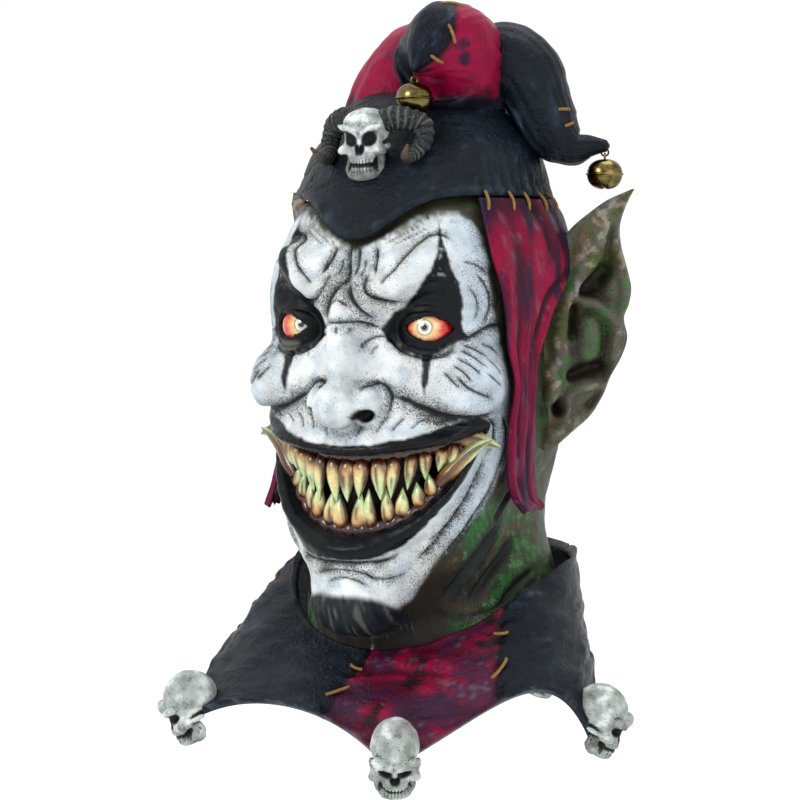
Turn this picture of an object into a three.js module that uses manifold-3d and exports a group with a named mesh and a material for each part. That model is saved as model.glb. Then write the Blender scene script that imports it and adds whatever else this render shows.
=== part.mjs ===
// A harlequin carnival mask of painted latex: a hollow head with a grinning face, a jester's cap with
// three belled points, long pointed ears, and a six-pointed collar with a small skull on each point.
// Millimetres, +Z up. The face looks along -Y, and the wearer's left is +X.
// The origin is where the wearer's crown comes, in the hollow under the cap.
import * as THREE from 'three';
import { mergeVertices } from 'three/addons/utils/BufferGeometryUtils.js';
import Module from 'manifold-3d';

const wasm = await Module();
wasm.setup();

// Driving dimensions
const SKIN_WALL = 3; // latex of the head
const CAP_WALL = 3; // latex of the cap, which lies over the head
const CAP_LIFT = 1.2; // clears the flat facets of the skin below
const POINT_WALL = 3; // latex of the cap's hollow points
const GAP = 0.4; // between pieces that meet
const SKIN_TOP_Z = -30; // the head's skin ends here, under the cap
const SKIN_UNDER_COLLAR = 18; // how far the neck runs down inside the collar
const HEAD_AXIS_Y = 10; // upright axis that the head's radii are measured from
const CAP_CENTRE = new THREE.Vector3(0, 12, -60); // the cap's rows fan out from here
const FAR = 190; // farther out than any point of the head

const EYE = { x: 45, y: -72, z: -133, radius: 17 };
const SMILE_ANGLE = 48; // degrees from the middle of the mouth to its corner
const MOUTH_DEPTH = 24;
const LIP_UP_Z = -214; // lower edge of the upper lip, at the middle
const LIP_LOW_Z = -265; // upper edge of the lower lip, at the middle
const LIP_UP_CURVE = 1.6; // how late the upper lip rises on its way to the corner
const LIP_LOW_CURVE = 2.2;
const MOUTH_CORNER_Z = -200;

const COLLAR_WALL = 3;
const NECK_CENTRE_Y = 27;
const NECK_WIDTH_R = 92;
const NECK_DEPTH_R = 94;
const HEM_CENTRE_Y = -34;
const HEM_R = 137;
const COLLAR_SKULL_HEIGHT = 46;
const BROOCH_SKULL_HEIGHT = 46;

const BELL_R = 12;
const BELL_HALF_HEIGHT = 10.2;
const BELL_WALL = 1;
const LOOP = { radius: 2.4, wire: 0.6 };
const BELL_EYE = { radius: 2, wire: 0.7 };

const degrees = THREE.MathUtils.degToRad;
const mix = THREE.MathUtils.lerp;
const clamp01 = (value) => THREE.MathUtils.clamp(value, 0, 1);
const vector = (x, y, z) => new THREE.Vector3(x, y, z);
const steps = (count, make) => Array.from({ length: count }, (_, i) => make(i));

// Rows of a table as objects with its column names
const table = (names, rows) =>
  rows.map((row) => Object.fromEntries(names.split(' ').map((name, i) => [name, row[i]])));

// Forms are ellipsoids that melt into each other. roll turns one in the frontal plane, in degrees.
// Rows stand for both sides of the face: the field is mirrored in the plane x = 0.
const FORM = 'name x y z rx ry rz roll blend';

const HEAD_FORMS = table(FORM, [
  ['cranium', 0, 14, -96, 92, 104, 101, 0, 1],
  ['nape', 0, 36, -205, 86, 74, 96, 0, 30],
  ['neck', 0, NECK_CENTRE_Y, -372, NECK_WIDTH_R, NECK_DEPTH_R, 170, 0, 24],
  ['face', 0, -20, -186, 88, 82, 112, 0, 26],
  ['jaw', 0, -44, -258, 66, 62, 64, 0, 24],
  ['chin', 0, -86, -306, 31, 30, 29, 0, 18],
  ['cheek', 63, -60, -168, 28, 32, 25, -20, 12],
  ['temple', 54, -46, -112, 28, 34, 44, 4, 16],
  ['brow', 32, -83, -99, 28, 19, 16, 30, 10],
  ['brow_knot', 10, -94, -114, 11, 13, 15, 0, 7],
  ['nose_bridge', 0, -102, -146, 9, 20, 38, 0, 7],
  ['nose_tip', 0, -115, -180, 13.5, 17, 14, 0, 6],
  ['nose_wing', 17.5, -103, -181, 10.5, 14, 11.5, 0, 3],
  ['muzzle', 0, -76, -208, 62, 34, 20, 0, 12],
  ['under_lip', 0, -82, -282, 38, 28, 14, 0, 10],
]);
const HEAD_HOLLOWS = table(FORM, [
  ['eye_socket', 45, -98, -132, 23, 24, 15, 16, 6],
  ['nostril', 18.5, -113, -188.5, 7, 11, 4.2, 26, 1.5],
]);

// A skull 46 mm tall about its own middle, looking along -Y
const SKULL_TABLE_HEIGHT = 46;
const SKULL_FORMS = table(FORM, [
  ['cranium', 0, 2, 7, 15.5, 18.5, 16, 0, 1],
  ['brow', 7, -13.5, 5.5, 8, 4.6, 3, 18, 2.5],
  ['cheekbone', 11.5, -10.5, -5, 4.6, 5, 3.2, -8, 2.5],
  ['upper_jaw', 0, -10.5, -9, 8.4, 7.8, 5.4, 0, 3],
  ['lower_jaw', 0, -9, -18.8, 10, 7.6, 4.3, 0, 3],
]);
const SKULL_HOLLOWS = table(FORM, [
  ['eye_socket', 7.2, -18, 0.8, 5.2, 7.5, 4, 15, 1.5],
  ['nose', 0, -20, -5.4, 2.4, 5.5, 3, 0, 1],
  ['temple', 17.4, -6, 0, 4, 9, 6.5, 0, 2.5],
]);

// Fields: signed distance to a set of forms, negative inside
function smoothMin(a, b, blend) {
  const overlap = Math.max(blend - Math.abs(a - b), 0) / blend;
  return Math.min(a, b) - (overlap * overlap * blend) / 4;
}
const smoothMax = (a, b, blend) => -smoothMin(-a, -b, blend);

function ellipsoid(form, x, y, z) {
  const turn = degrees(form.roll);
  const [dx, dy, dz] = [x - form.x, y - form.y, z - form.z];
  const across = dx * Math.cos(turn) + dz * Math.sin(turn);
  const upright = dz * Math.cos(turn) - dx * Math.sin(turn);
  const share = Math.hypot(across / form.rx, dy / form.ry, upright / form.rz);
  const slope = Math.hypot(across / form.rx ** 2, dy / form.ry ** 2, upright / form.rz ** 2);
  return slope ? (share * (share - 1)) / slope : -Math.min(form.rx, form.ry, form.rz);
}

function formsField(forms, hollows, p) {
  const x = Math.abs(p.x);
  let distance = Infinity;
  for (const form of forms) {
    const next = ellipsoid(form, x, p.y, p.z);
    distance = distance === Infinity ? next : smoothMin(distance, next, form.blend);
  }
  for (const form of hollows) {
    distance = smoothMax(distance, -ellipsoid(form, x, p.y, p.z), form.blend);
  }
  return distance;
}

// The mouth: a smile whose edges rise to the corners
const smileShare = (angle) => Math.abs(angle) / degrees(SMILE_ANGLE);
const upperLipZ = (angle) => mix(LIP_UP_Z, MOUTH_CORNER_Z, smileShare(angle) ** LIP_UP_CURVE);
const lowerLipZ = (angle) => mix(LIP_LOW_Z, MOUTH_CORNER_Z, smileShare(angle) ** LIP_LOW_CURVE);
const angleOf = (p) => Math.atan2(p.x, HEAD_AXIS_Y - p.y);
const LIPS = table('edge offset swell width', [
  [upperLipZ, 4, 4, 5],
  [lowerLipZ, -8, 6, 8],
]);

function headForm(p) {
  const angle = angleOf(p);
  const fade = clamp01((1.1 - smileShare(angle)) / 0.3);
  let distance = formsField(HEAD_FORMS, HEAD_HOLLOWS, p);
  for (const lip of LIPS) {
    const off = (p.z - lip.edge(angle) - lip.offset) / lip.width;
    distance -= lip.swell * fade * Math.exp(-off * off);
  }
  return distance;
}

function headField(p) {
  const form = headForm(p);
  const angle = angleOf(p);
  const aboveOrBelow = Math.max(lowerLipZ(angle) - p.z, p.z - upperLipZ(angle));
  const pocket = smoothMax(aboveOrBelow, -form - MOUTH_DEPTH, 4);
  return smoothMax(form, -pocket, 3);
}

// How far along a ray from a point a field first falls to a level, coming in from far
function reach(field, from, ray, level, far = FAR) {
  let distance = far;
  for (let i = 0; i < 200; i++) {
    const left = field(from.clone().addScaledVector(ray, distance)) - level;
    if (left < 0.01 || distance < 1) break;
    distance -= 0.6 * left;
  }
  return distance;
}
const heading = (angle) => vector(Math.sin(angle), -Math.cos(angle), 0);
const onAxis = (z) => vector(0, HEAD_AXIS_Y, z);
const headReach = (angle, z, level = 0, field = headField) =>
  reach(field, onAxis(z), heading(angle), level);
const headPoint = (angle, z, level = 0, field = headField) =>
  onAxis(z).addScaledVector(heading(angle), headReach(angle, z, level, field));

// Solids: a loft joins rings of equal count, shut at both ends or closed around
function loft(rings, around = false) {
  const count = rings[0].length;
  const at = (i, j) => (i % rings.length) * count + ((j + count) % count);
  const index = [];
  for (let i = 0; i < rings.length - (around ? 0 : 1); i++) {
    for (let j = 0; j < count; j++) {
      index.push(at(i, j), at(i + 1, j), at(i + 1, j + 1));
      index.push(at(i, j), at(i + 1, j + 1), at(i, j + 1));
    }
  }
  if (!around) {
    const shut = (i, flip) => {
      for (let j = 0; j < Math.floor(count / 2); j++) {
        const [a, b, c, d] = [at(i, -j), at(i, j), at(i, j + 1), at(i, -j - 1)];
        for (const face of [[a, b, c], [a, c, d]]) {
          if (new Set(face).size === 3) index.push(...(flip ? face.reverse() : face));
        }
      }
    };
    shut(0, false);
    shut(rings.length - 1, true);
  }
  const points = new Float32Array(rings.flat().flatMap((p) => [p.x, p.y, p.z]));
  return new THREE.BufferGeometry()
    .setAttribute('position', new THREE.BufferAttribute(points, 3))
    .setIndex(index);
}

function solidOf(geometry, matrix = new THREE.Matrix4()) {
  const bare = new THREE.BufferGeometry();
  bare.setAttribute('position', geometry.getAttribute('position').clone()).setIndex(geometry.index);
  const merged = mergeVertices(bare.applyMatrix4(matrix), 1e-4);
  const vertProperties = merged.getAttribute('position').array;
  const faces = Uint32Array.from(merged.index.array);
  const make = (triVerts) => new wasm.Manifold(new wasm.Mesh({ numProp: 3, vertProperties, triVerts }));
  const made = make(faces);
  return made.volume() < 0 ? make(faces.reverse()) : made;
}

// A round solid along a curve through stations x, y, z with a radius r at each.
// grow is added to each radius, and a hollow may end some spans before the tip.
function sweep(stations, sides, spans, grow = 0, shortBy = 0) {
  const path = new THREE.CatmullRomCurve3(stations.map((s) => vector(s.x, s.y, s.z)));
  const radii = new THREE.CatmullRomCurve3(stations.map((s) => vector(s.r, 0, 0)));
  const frames = path.computeFrenetFrames(spans, false);
  return loft(
    steps(spans + 1 - shortBy, (i) => {
      const radius = Math.max(radii.getPoint(i / spans).x + grow, 0.3);
      return steps(sides, (j) => {
        const turn = (2 * Math.PI * j) / sides;
        return path
          .getPoint(i / spans)
          .addScaledVector(frames.normals[i], radius * Math.cos(turn))
          .addScaledVector(frames.binormals[i], radius * Math.sin(turn));
      });
    }),
  );
}

// Angles around a head, crowded together at the face
const FRONT_CROWDING = 0.58;
const crowded = (count) =>
  steps(count, (j) => {
    const turn = (2 * Math.PI * j) / count;
    return turn - FRONT_CROWDING * Math.sin(turn);
  });

// A ball-like solid: a field felt for from its middle in rows of latitude
function cast(field, rows, count, size) {
  return loft(
    steps(rows, (i) => {
      const rise = degrees(mix(-84, 84, i / (rows - 1)));
      return crowded(count).map((angle) => {
        const ray = heading(angle).multiplyScalar(Math.cos(rise)).setZ(Math.sin(rise));
        return ray.clone().multiplyScalar(reach(field, vector(0, 0, 0), ray, 0, size));
      });
    }),
  );
}

// How far an angle is turned from straight ahead, to either side
const turnedFrom = (angle) => Math.abs(Math.atan2(Math.sin(angle), Math.cos(angle)));

// The cap's rim dips to a peak between the brows and runs lower over the nape
const rimRise = (angle) => {
  const turned = turnedFrom(angle);
  const peak = 17 * Math.exp(-((turned / degrees(21)) ** 2));
  const nape = 24 * clamp01((turned - degrees(100)) / degrees(60));
  return degrees(8 - peak - nape);
};
// The cap stands off the head at its sides and on top, under its points
const CROWN_SIDE_LIFT = 13;
const CROWN_TOP_LIFT = 16;
const { smoothstep } = THREE.MathUtils;
function crownLift(angle, rise) {
  const climb = THREE.MathUtils.radToDeg(rise);
  const beside = Math.sin(angle) ** 2 * smoothstep(climb, 4, 36) * (1 - smoothstep(climb, 50, 86));
  return CROWN_SIDE_LIFT * beside + CROWN_TOP_LIFT * smoothstep(climb, 36, 72);
}
function capPoint(angle, rise, level) {
  const ray = heading(angle).multiplyScalar(Math.cos(rise)).setZ(Math.sin(rise));
  return CAP_CENTRE.clone().addScaledVector(ray, reach(headForm, CAP_CENTRE, ray, level));
}
function capDome(level, rows, count, below) {
  return loft(
    steps(rows, (i) =>
      crowded(count).map((angle) => {
        const rim = rimRise(angle) - degrees(below);
        const rise = mix(rim, degrees(84), i / (rows - 1));
        return capPoint(angle, rise, level + crownLift(angle, rise));
      }),
    ),
  );
}

// The head's skin, in bands of rows from the cap down to the collar
const HEAD_SIDES = 26;
const SKIN_BANDS = table('from to rows', [
  [SKIN_TOP_Z, -84, 2],
  [-84, -188, 8],
  [-188, LIP_UP_Z + 2, 3],
  [LIP_UP_Z + 2, LIP_UP_Z - 4, 1],
  [LIP_UP_Z - 4, LIP_LOW_Z + 4, 3],
  [LIP_LOW_Z + 4, LIP_LOW_Z - 3, 1],
  [LIP_LOW_Z - 3, -304, 3],
  [-304, -340, 2],
  [-340, -372, 2],
]);
const LEVEL_ABOVE_Z = -300; // rows below this follow the collar
const CAP_TUCK = 6; // the skin runs this much lower under the cap
const necklineZ = (angle) => -298 - 51 * Math.max(Math.cos(angle), 0) ** 1.5;
const skinEndZ = (angle) => necklineZ(angle) - SKIN_UNDER_COLLAR;
const skinLevels = SKIN_BANDS.flatMap((band) =>
  steps(band.rows, (i) => mix(band.from, band.to, i / band.rows)),
).concat(SKIN_BANDS.at(-1).to);

// Rows near the mouth are lifted with the smile, so that the lips run along them
function smileLift(level, angle) {
  const turned = turnedFrom(angle);
  const share = Math.min(smileShare(turned), 1);
  const fade = clamp01((degrees(84) - turned) / degrees(32));
  const upper = (MOUTH_CORNER_Z + 2 - LIP_UP_Z) * share ** LIP_UP_CURVE * fade;
  const lower = (MOUTH_CORNER_Z - 7 - LIP_LOW_Z) * share ** LIP_LOW_CURVE * fade;
  if (level > LIP_UP_Z) return upper * clamp01((-188 - level) / (-188 - LIP_UP_Z));
  if (level > LIP_LOW_Z) return mix(upper, lower, (LIP_UP_Z - level) / (LIP_UP_Z - LIP_LOW_Z));
  return lower * clamp01((level + 340) / (LIP_LOW_Z + 340));
}
function skinZ(level, angle) {
  const share = clamp01((LEVEL_ABOVE_Z - level) / (LEVEL_ABOVE_Z - SKIN_BANDS.at(-1).to));
  const base = level > LEVEL_ABOVE_Z ? level : mix(LEVEL_ABOVE_Z, skinEndZ(angle), share);
  return base + smileLift(level, angle);
}

function headGrid(level) {
  return skinLevels.map((row) =>
    crowded(HEAD_SIDES).map((angle) => {
      const z = skinZ(row, angle);
      const underCap = clamp01((z - capPoint(angle, rimRise(angle), 0).z) / 6 + 1);
      return { angle, z, radius: headReach(angle, z, level) - CAP_TUCK * underCap };
    }),
  );
}
const gridPoint = (cell) => onAxis(cell.z).addScaledVector(heading(cell.angle), cell.radius);
const gridSolid = (grid) => solidOf(loft(grid.map((row) => row.map(gridPoint))));

// The hollow follows the skin one wall inside it, and runs out of both ends
function hollowGrid(grid) {
  const rows = grid.map((row) =>
    row.map((cell) => {
      const radius = headReach(cell.angle, cell.z, -SKIN_WALL - GAP);
      return { ...cell, radius: Math.min(radius, cell.radius - SKIN_WALL) };
    }),
  );
  const shifted = (row, rise) => row.map((cell) => ({ ...cell, z: cell.z + rise }));
  return [shifted(rows[0], SKIN_WALL), ...rows, shifted(rows.at(-1), -3 * SKIN_WALL)];
}

// Points of the cap: stations from the root on the crown to the tip
const STATION = 'x y z r';
const CAP_POINTS = {
  front: table(STATION, [
    [18, 22, -12, 34],
    [21, 17, 10, 32],
    [25, 10, 26, 35],
    [29, -7, 40.5, 37],
    [31, -24, 47.5, 32.5],
    [28, -40, 43, 19],
    [21.5, -47, 33, 4.3],
  ]),
  left: table(STATION, [
    [22, 14, -8, 26],
    [29, 14, 14, 27],
    [42, 15, 33, 27],
    [58, 17, 41, 27],
    [72, 20, 33, 24.5],
    [80, 24, 15, 21],
    [88, 29, -4, 19],
    [101, 33.5, -14.5, 12],
    [112, 37, -13.5, 7],
    [124, 41, -13.6, 3.4],
  ]),
  right: table(STATION, [
    [-30, 18, -16, 36],
    [-26, 24, 8, 34],
    [-19, 32, 28, 31],
    [-17, 48, 42, 30],
    [-28, 70, 34, 27],
    [-42, 88, 11, 22],
    [-54, 105, -20, 13],
    [-58, 117, -48, 5],
  ]),
};
const POINT_SIDES = 8;
const POINT_SPANS = 9;
const cone = (stations, grow, shortBy) =>
  solidOf(sweep(stations, POINT_SIDES, POINT_SPANS, grow, shortBy));

// Lappets: rows down the side of the head from the cap's rim, between two angles, lifted off the skin.
// The one on the wearer's right sits farther back, and its tip swings out.
const LAPPET_ROW = 'z front back lift';
const LAPPET_ROWS = {
  left: table(LAPPET_ROW, [
    [-48, 50, 104, 4],
    [-66, 50, 116, 4],
    [-86, 50.5, 118, 4.5],
    [-100, 52, 106, 5],
    [-114, 54, 94, 5],
    [-136, 56.5, 86, 5],
    [-160, 57.5, 77, 5],
    [-190, 57.5, 75, 5],
    [-220, 58, 75.5, 7],
    [-243, 61.5, 80, 10],
    [-257, 70, 86, 13],
  ]),
  right: table(LAPPET_ROW, [
    [-48, 80, 126, 4],
    [-66, 80, 130, 4],
    [-86, 80, 130, 4.5],
    [-100, 80, 121, 5],
    [-114, 80, 113, 5],
    [-136, 80, 107, 5],
    [-160, 79, 100, 5],
    [-190, 76, 95, 6],
    [-220, 71, 88, 9],
    [-243, 65, 81, 14],
    [-262, 61, 72, 20],
  ]),
};
const LAPPET_WALL = 4;
function lappet(rows, side, grow = 0) {
  const across = 5;
  const strip = (row, level, from, to) =>
    steps(across, (j) => {
      const angle = side * degrees(mix(from, to, j / (across - 1)));
      const rim = capPoint(angle, rimRise(angle), 0).z - 2 * GAP;
      return headPoint(angle, Math.min(row.z, rim), level, headForm);
    });
  return loft(
    rows.map((row) => {
      const [front, back] = [row.front - grow / 2, row.back + grow / 2];
      return [
        ...strip(row, row.lift + LAPPET_WALL + grow, front, back),
        ...strip(row, row.lift - grow, back, front),
      ];
    }),
  );
}

// Ears: sections up the ear from the root beside the head to the rim, cupped towards the front
const EAR_PLACE = { x: 90, y: 26, z: -148, turn: 40 }; // turn is how far the ear swings back, in degrees
const EAR_WALL = 5;
const EAR_SECTIONS = table('height root rim bowl', [
  [-71, -8, 0, 1],
  [-56, -15, 19, 4],
  [-36, -16, 35, 8],
  [-14, -16, 45, 10],
  [5, -16, 53, 11],
  [22, -16, 52, 11],
  [39, -15, 55.5, 9],
  [56, -8, 51, 7],
  [72, 6, 47.5, 5],
  [88, 22, 48, 3],
  [106, 52, 57.5, 1],
]);
function ear(side) {
  const across = 6;
  const width = vector(Math.cos(degrees(EAR_PLACE.turn)), Math.sin(degrees(EAR_PLACE.turn)), 0);
  const front = vector(Math.sin(degrees(EAR_PLACE.turn)), -Math.cos(degrees(EAR_PLACE.turn)), 0);
  const place = vector(EAR_PLACE.x, EAR_PLACE.y, EAR_PLACE.z);
  const line = (section, lift, from, to) =>
    steps(across, (j) => {
      const share = mix(from, to, j / (across - 1));
      const edge = Math.sin(Math.PI * share);
      const depth = lift * (0.45 + 0.55 * edge) - section.bowl * edge;
      const p = place
        .clone()
        .addScaledVector(width, mix(section.root, section.rim, share))
        .addScaledVector(front, depth);
      return vector(side * p.x, p.y, p.z + section.height);
    });
  return loft(
    EAR_SECTIONS.map((section) => [
      ...line(section, EAR_WALL / 2, 0, 1),
      ...line(section, -EAR_WALL / 2, 1, 0),
    ]),
  );
}

// Collar: it flares from the neck to a hem cut into points, which stand closer together at the back
const POINT_ANGLES = [-44, 27, 98, 160, 204, 246].map(degrees);
const COLLAR_SIDES = 36;
const COLLAR_ROWS = 3;
const COLLAR_CLEAR = 5; // the neckline stands off the neck
const ARC_REACH = 0.68; // where the hem runs between two points, as a share of the way to a skull
const POINT_REACH = 1.1; // where the points end, under the skulls' jaws
const hemZ = (angle) => -388 - 6 * Math.sin(angle); // the collar hangs lower on the wearer's left

// An angle given as points passed: 0 at the first point, 1 at the next, and so on around
function angleAtTurn(turn) {
  const k = Math.floor(turn);
  const [from, to] = [POINT_ANGLES.at(k), POINT_ANGLES[k + 1] ?? POINT_ANGLES[0] + 2 * Math.PI];
  return mix(from, to, turn - k);
}
const hemShare = (turn) => mix(ARC_REACH, POINT_REACH, Math.abs(2 * (turn % 1) - 1) ** 2);
function collarPoint(angle, share, grow = 0) {
  const flare = share ** 0.85;
  return vector(
    (mix(NECK_WIDTH_R + COLLAR_CLEAR, HEM_R, flare) + grow) * Math.sin(angle),
    mix(NECK_CENTRE_Y, HEM_CENTRE_Y, flare)
      - (mix(NECK_DEPTH_R + COLLAR_CLEAR, HEM_R, flare) + grow) * Math.cos(angle),
    mix(necklineZ(angle), hemZ(angle), share ** 1.35) + grow,
  );
}
function collar(grow) {
  const half = COLLAR_WALL / 2 + grow;
  return loft(
    steps(COLLAR_SIDES, (j) => {
      const turn = (POINT_ANGLES.length * j) / COLLAR_SIDES;
      const angle = angleAtTurn(turn);
      const share = (i) => ((hemShare(turn) + 0.02 * grow) * i) / (COLLAR_ROWS - 1);
      return [
        ...steps(COLLAR_ROWS, (i) => collarPoint(angle, share(i), half)),
        ...steps(COLLAR_ROWS, (i) => collarPoint(angle, share(COLLAR_ROWS - 1 - i), -half)),
      ];
    }),
    true,
  );
}

// Skulls: the table's skull, grown to a height
const skullField = (p) => formsField(SKULL_FORMS, SKULL_HOLLOWS, p);
function skull(height, rows, count) {
  const grown = height / SKULL_TABLE_HEIGHT;
  return cast(skullField, rows, count, 32).scale(grown, grown, grown);
}
const COLLAR_SKULL = { share: 0.97, proud: 7, lean: 24 }; // lean tips the face down, in degrees
function collarSkullPlace(angle) {
  const at = collarPoint(angle, COLLAR_SKULL.share).addScaledVector(heading(angle), COLLAR_SKULL.proud);
  const turn = new THREE.Matrix4().makeRotationZ(angle);
  const lean = new THREE.Matrix4().makeRotationX(degrees(COLLAR_SKULL.lean));
  return turn.multiply(lean).setPosition(at);
}

// Brooch: a skull with a ram's horn on each side, on the front of the cap
const BROOCH = { x: -3, y: -68, z: -14, lean: 8, skullTurn: 12, hornTurn: -4 }; // degrees
const HORN = table('x y z r', [
  [8, 4, 13, 7.5],
  [17, 8, 16.4, 7.7],
  [27, 13, 14.8, 7.4],
  [34.5, 15.5, 9, 6.8],
  [36, 12, 0, 6],
  [33, 5, -7, 5],
  [31.5, -2, -9, 3.8],
  [33, -7, -6.5, 2.6],
  [37, -10, -0.5, 0.9],
]);
const broochPlace = (turn) =>
  new THREE.Matrix4()
    .makeRotationZ(degrees(turn))
    .multiply(new THREE.Matrix4().makeRotationX(degrees(BROOCH.lean)))
    .setPosition(vector(BROOCH.x, BROOCH.y, BROOCH.z));
const horn = (side, grow = 0) =>
  solidOf(sweep(HORN.map((s) => ({ ...s, x: side * s.x })), 7, 12, grow), broochPlace(BROOCH.hornTurn));

// Teeth: pointed, in rows along the lips, each row on a gum that fills the back of the mouth
const TEETH_STEP = 6; // degrees between neighbours
const LAST_TOOTH = 6.5; // steps from the middle of the mouth
const TOOTH = { radius: 4.6, behind: 8, gumBehind: 9, gumDepth: 9 };
const TOOTH_ROWS = {
  upper: { edge: upperLipZ, down: -1, inside: 6, middle: 19, side: 7, first: -6 },
  lower: { edge: lowerLipZ, down: 1, inside: 6, middle: 14.5, side: 5, first: -6.5 },
};
const lipReach = (angle) => {
  const z = (upperLipZ(angle) + lowerLipZ(angle)) / 2;
  return headReach(angle, z, 0, headForm);
};
const mouthPoint = (angle, z, behind) =>
  onAxis(z).addScaledVector(heading(angle), lipReach(angle) - behind);

function tooth(row, k) {
  const angle = degrees(TEETH_STEP * k);
  const root = row.edge(angle) + row.down * row.inside;
  const sway = 1 + 0.12 * Math.sin(5.1 * k + row.down); // no two teeth stand alike
  const length = sway * mix(row.middle, row.side, Math.abs(k) / LAST_TOOTH);
  const radius = TOOTH.radius * mix(1, 0.8, Math.abs(k) / LAST_TOOTH);
  const tip = mouthPoint(angle, root + row.down * length, TOOTH.behind);
  return sweep([{ ...mouthPoint(angle, root, TOOTH.behind), r: radius }, { ...tip, r: 0.5 }], 4, 1);
}
function gum(row) {
  const count = 9;
  return loft(
    steps(count, (i) => {
      const angle = degrees(mix(-1, 1, i / (count - 1)) * (SMILE_ANGLE - 9));
      const middle = (upperLipZ(angle) + lowerLipZ(angle)) / 2 - row.down * GAP;
      const edge = row.edge(angle) + row.down * row.inside;
      return [
        mouthPoint(angle, edge, TOOTH.gumBehind),
        mouthPoint(angle, middle, TOOTH.gumBehind),
        mouthPoint(angle, middle, TOOTH.gumBehind + TOOTH.gumDepth),
        mouthPoint(angle, edge, TOOTH.gumBehind + TOOTH.gumDepth),
      ];
    }),
  );
}

// Tusks: two crossed at each corner of the mouth, one from each jaw
const TUSKS = table('name angle z behind r', [
  ['lower_root', 34, -230, 9, 6],
  ['lower_mid', 41, -216, 3, 5],
  ['lower_tip', 49, -204, -9, 0.8],
  ['upper_root', 39, -203, 8, 5.5],
  ['upper_mid', 47, -204, 0, 4.5],
  ['upper_tip', 54, -210, -12, 0.8],
]);
function tusk(side, grow = 0) {
  const stations = TUSKS.map((s) => ({ ...mouthPoint(side * degrees(s.angle), s.z, s.behind), r: s.r }));
  const one = (ends) => solidOf(sweep(ends, 6, 3, grow));
  return one(stations.slice(0, 3)).add(one(stations.slice(3)));
}

// Bells: a hollow brass ball of two halves, with a slot below and an eye above
function bell() {
  const ridge = 0.9;
  const profile = steps(9, (i) => {
    const rise = degrees(mix(-90, 90, i / 8));
    const out = i === 4 ? BELL_R + ridge : BELL_R;
    return new THREE.Vector2(i % 8 ? out * Math.cos(rise) : 0, BELL_HALF_HEIGHT * Math.sin(rise));
  });
  const upright = new THREE.Matrix4().makeRotationX(Math.PI / 2);
  const outside = solidOf(new THREE.LatheGeometry(profile, 8), upright);
  const inside = solidOf(new THREE.SphereGeometry(BELL_HALF_HEIGHT - 2 * BELL_WALL, 6, 4), upright);
  const slot = solidOf(
    new THREE.BoxGeometry(1.2 * BELL_R, 2, BELL_HALF_HEIGHT),
    new THREE.Matrix4().makeTranslation(0, 0, -0.95 * BELL_HALF_HEIGHT),
  );
  const eyeZ = BELL_HALF_HEIGHT + BELL_EYE.radius - 0.4;
  const eye = solidOf(
    new THREE.TorusGeometry(BELL_EYE.radius, BELL_EYE.wire, 4, 8),
    new THREE.Matrix4().makeRotationX(Math.PI / 2).setPosition(0, 0, eyeZ),
  );
  return outside.subtract(inside).subtract(slot).add(eye);
}
const EYE_ON_LOOP = LOOP.wire + BELL_EYE.wire + 0.35; // from the loop's wire up to the eye's wire
const BELL_DROP = LOOP.radius - EYE_ON_LOOP + 2 * BELL_EYE.radius - 0.4 + BELL_HALF_HEIGHT;

// A loop of thread through a tip, upright and turned about Z, and the bell that hangs from it
function loopPlace(tip, turn) {
  const upright = new THREE.Matrix4().makeRotationX(Math.PI / 2);
  return new THREE.Matrix4().makeRotationZ(turn).multiply(upright).setPosition(tip);
}
const loop = (wire) => new THREE.TorusGeometry(LOOP.radius, wire, 4, 8);
const bellPlace = (tip, turn) =>
  new THREE.Matrix4().makeRotationZ(turn + Math.PI / 2).setPosition(tip.x, tip.y, tip.z - BELL_DROP);
const BELL_LOOPS = {
  front: { at: vector(21.5, -47.4, 30.4), turn: degrees(-60) },
  left: { at: vector(121, 39.8, -17.9), turn: degrees(22) },
  right: { at: vector(-58, 117, -49), turn: degrees(100) },
};

// Finishes
const finish = (color, roughness, metalness = 0) =>
  new THREE.MeshStandardMaterial({ color, roughness, metalness });
const FINISH = {
  skin: finish(0xd9d8d2, 0.6),
  black: finish(0x15191e, 0.45),
  crimson: finish(0x6e0f2b, 0.45),
  ear: finish(0x6a6148, 0.55),
  eye: finish(0xd8c9a0, 0.12),
  teeth: finish(0xc9b878, 0.3),
  bone: finish(0xb5b2a8, 0.6),
  horn: finish(0x2c2d2d, 0.55),
  brass: finish(0x9a8648, 0.25, 1),
  thread: finish(0x4a1a1c, 0.8),
};

// Assembly
const mask = new THREE.Group();
const largest = (solid) => solid.decompose().sort((a, b) => b.volume() - a.volume())[0];
function add(name, solid, material) {
  const { numProp, vertProperties, triVerts } = largest(solid).getMesh();
  const count = vertProperties.length / numProp;
  const place = (i) => [...vertProperties.subarray(i * numProp, i * numProp + 3)];
  const points = new Float32Array(steps(count, place).flat());
  const geometry = new THREE.BufferGeometry()
    .setAttribute('position', new THREE.BufferAttribute(points, 3))
    .setIndex(new THREE.BufferAttribute(triVerts, 1));
  geometry.computeVertexNormals();
  const mesh = new THREE.Mesh(geometry, material);
  mesh.name = name;
  mask.add(mesh);
}

const skinGrid = headGrid(0);
const headCutter = gridSolid(headGrid(1.5 * GAP));
const capTop = CAP_WALL + CAP_LIFT;
const capHollow = solidOf(capDome(CAP_LIFT, 7, 28, 5));
const capOuter = solidOf(capDome(capTop, 7, 28, 0));
const capCutter = solidOf(capDome(capTop + GAP, 7, 28, 0.6));

add('head_skin', gridSolid(skinGrid).subtract(gridSolid(hollowGrid(skinGrid))), FINISH.skin);
add('cap_crown', capOuter.subtract(capHollow), FINISH.black);

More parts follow.
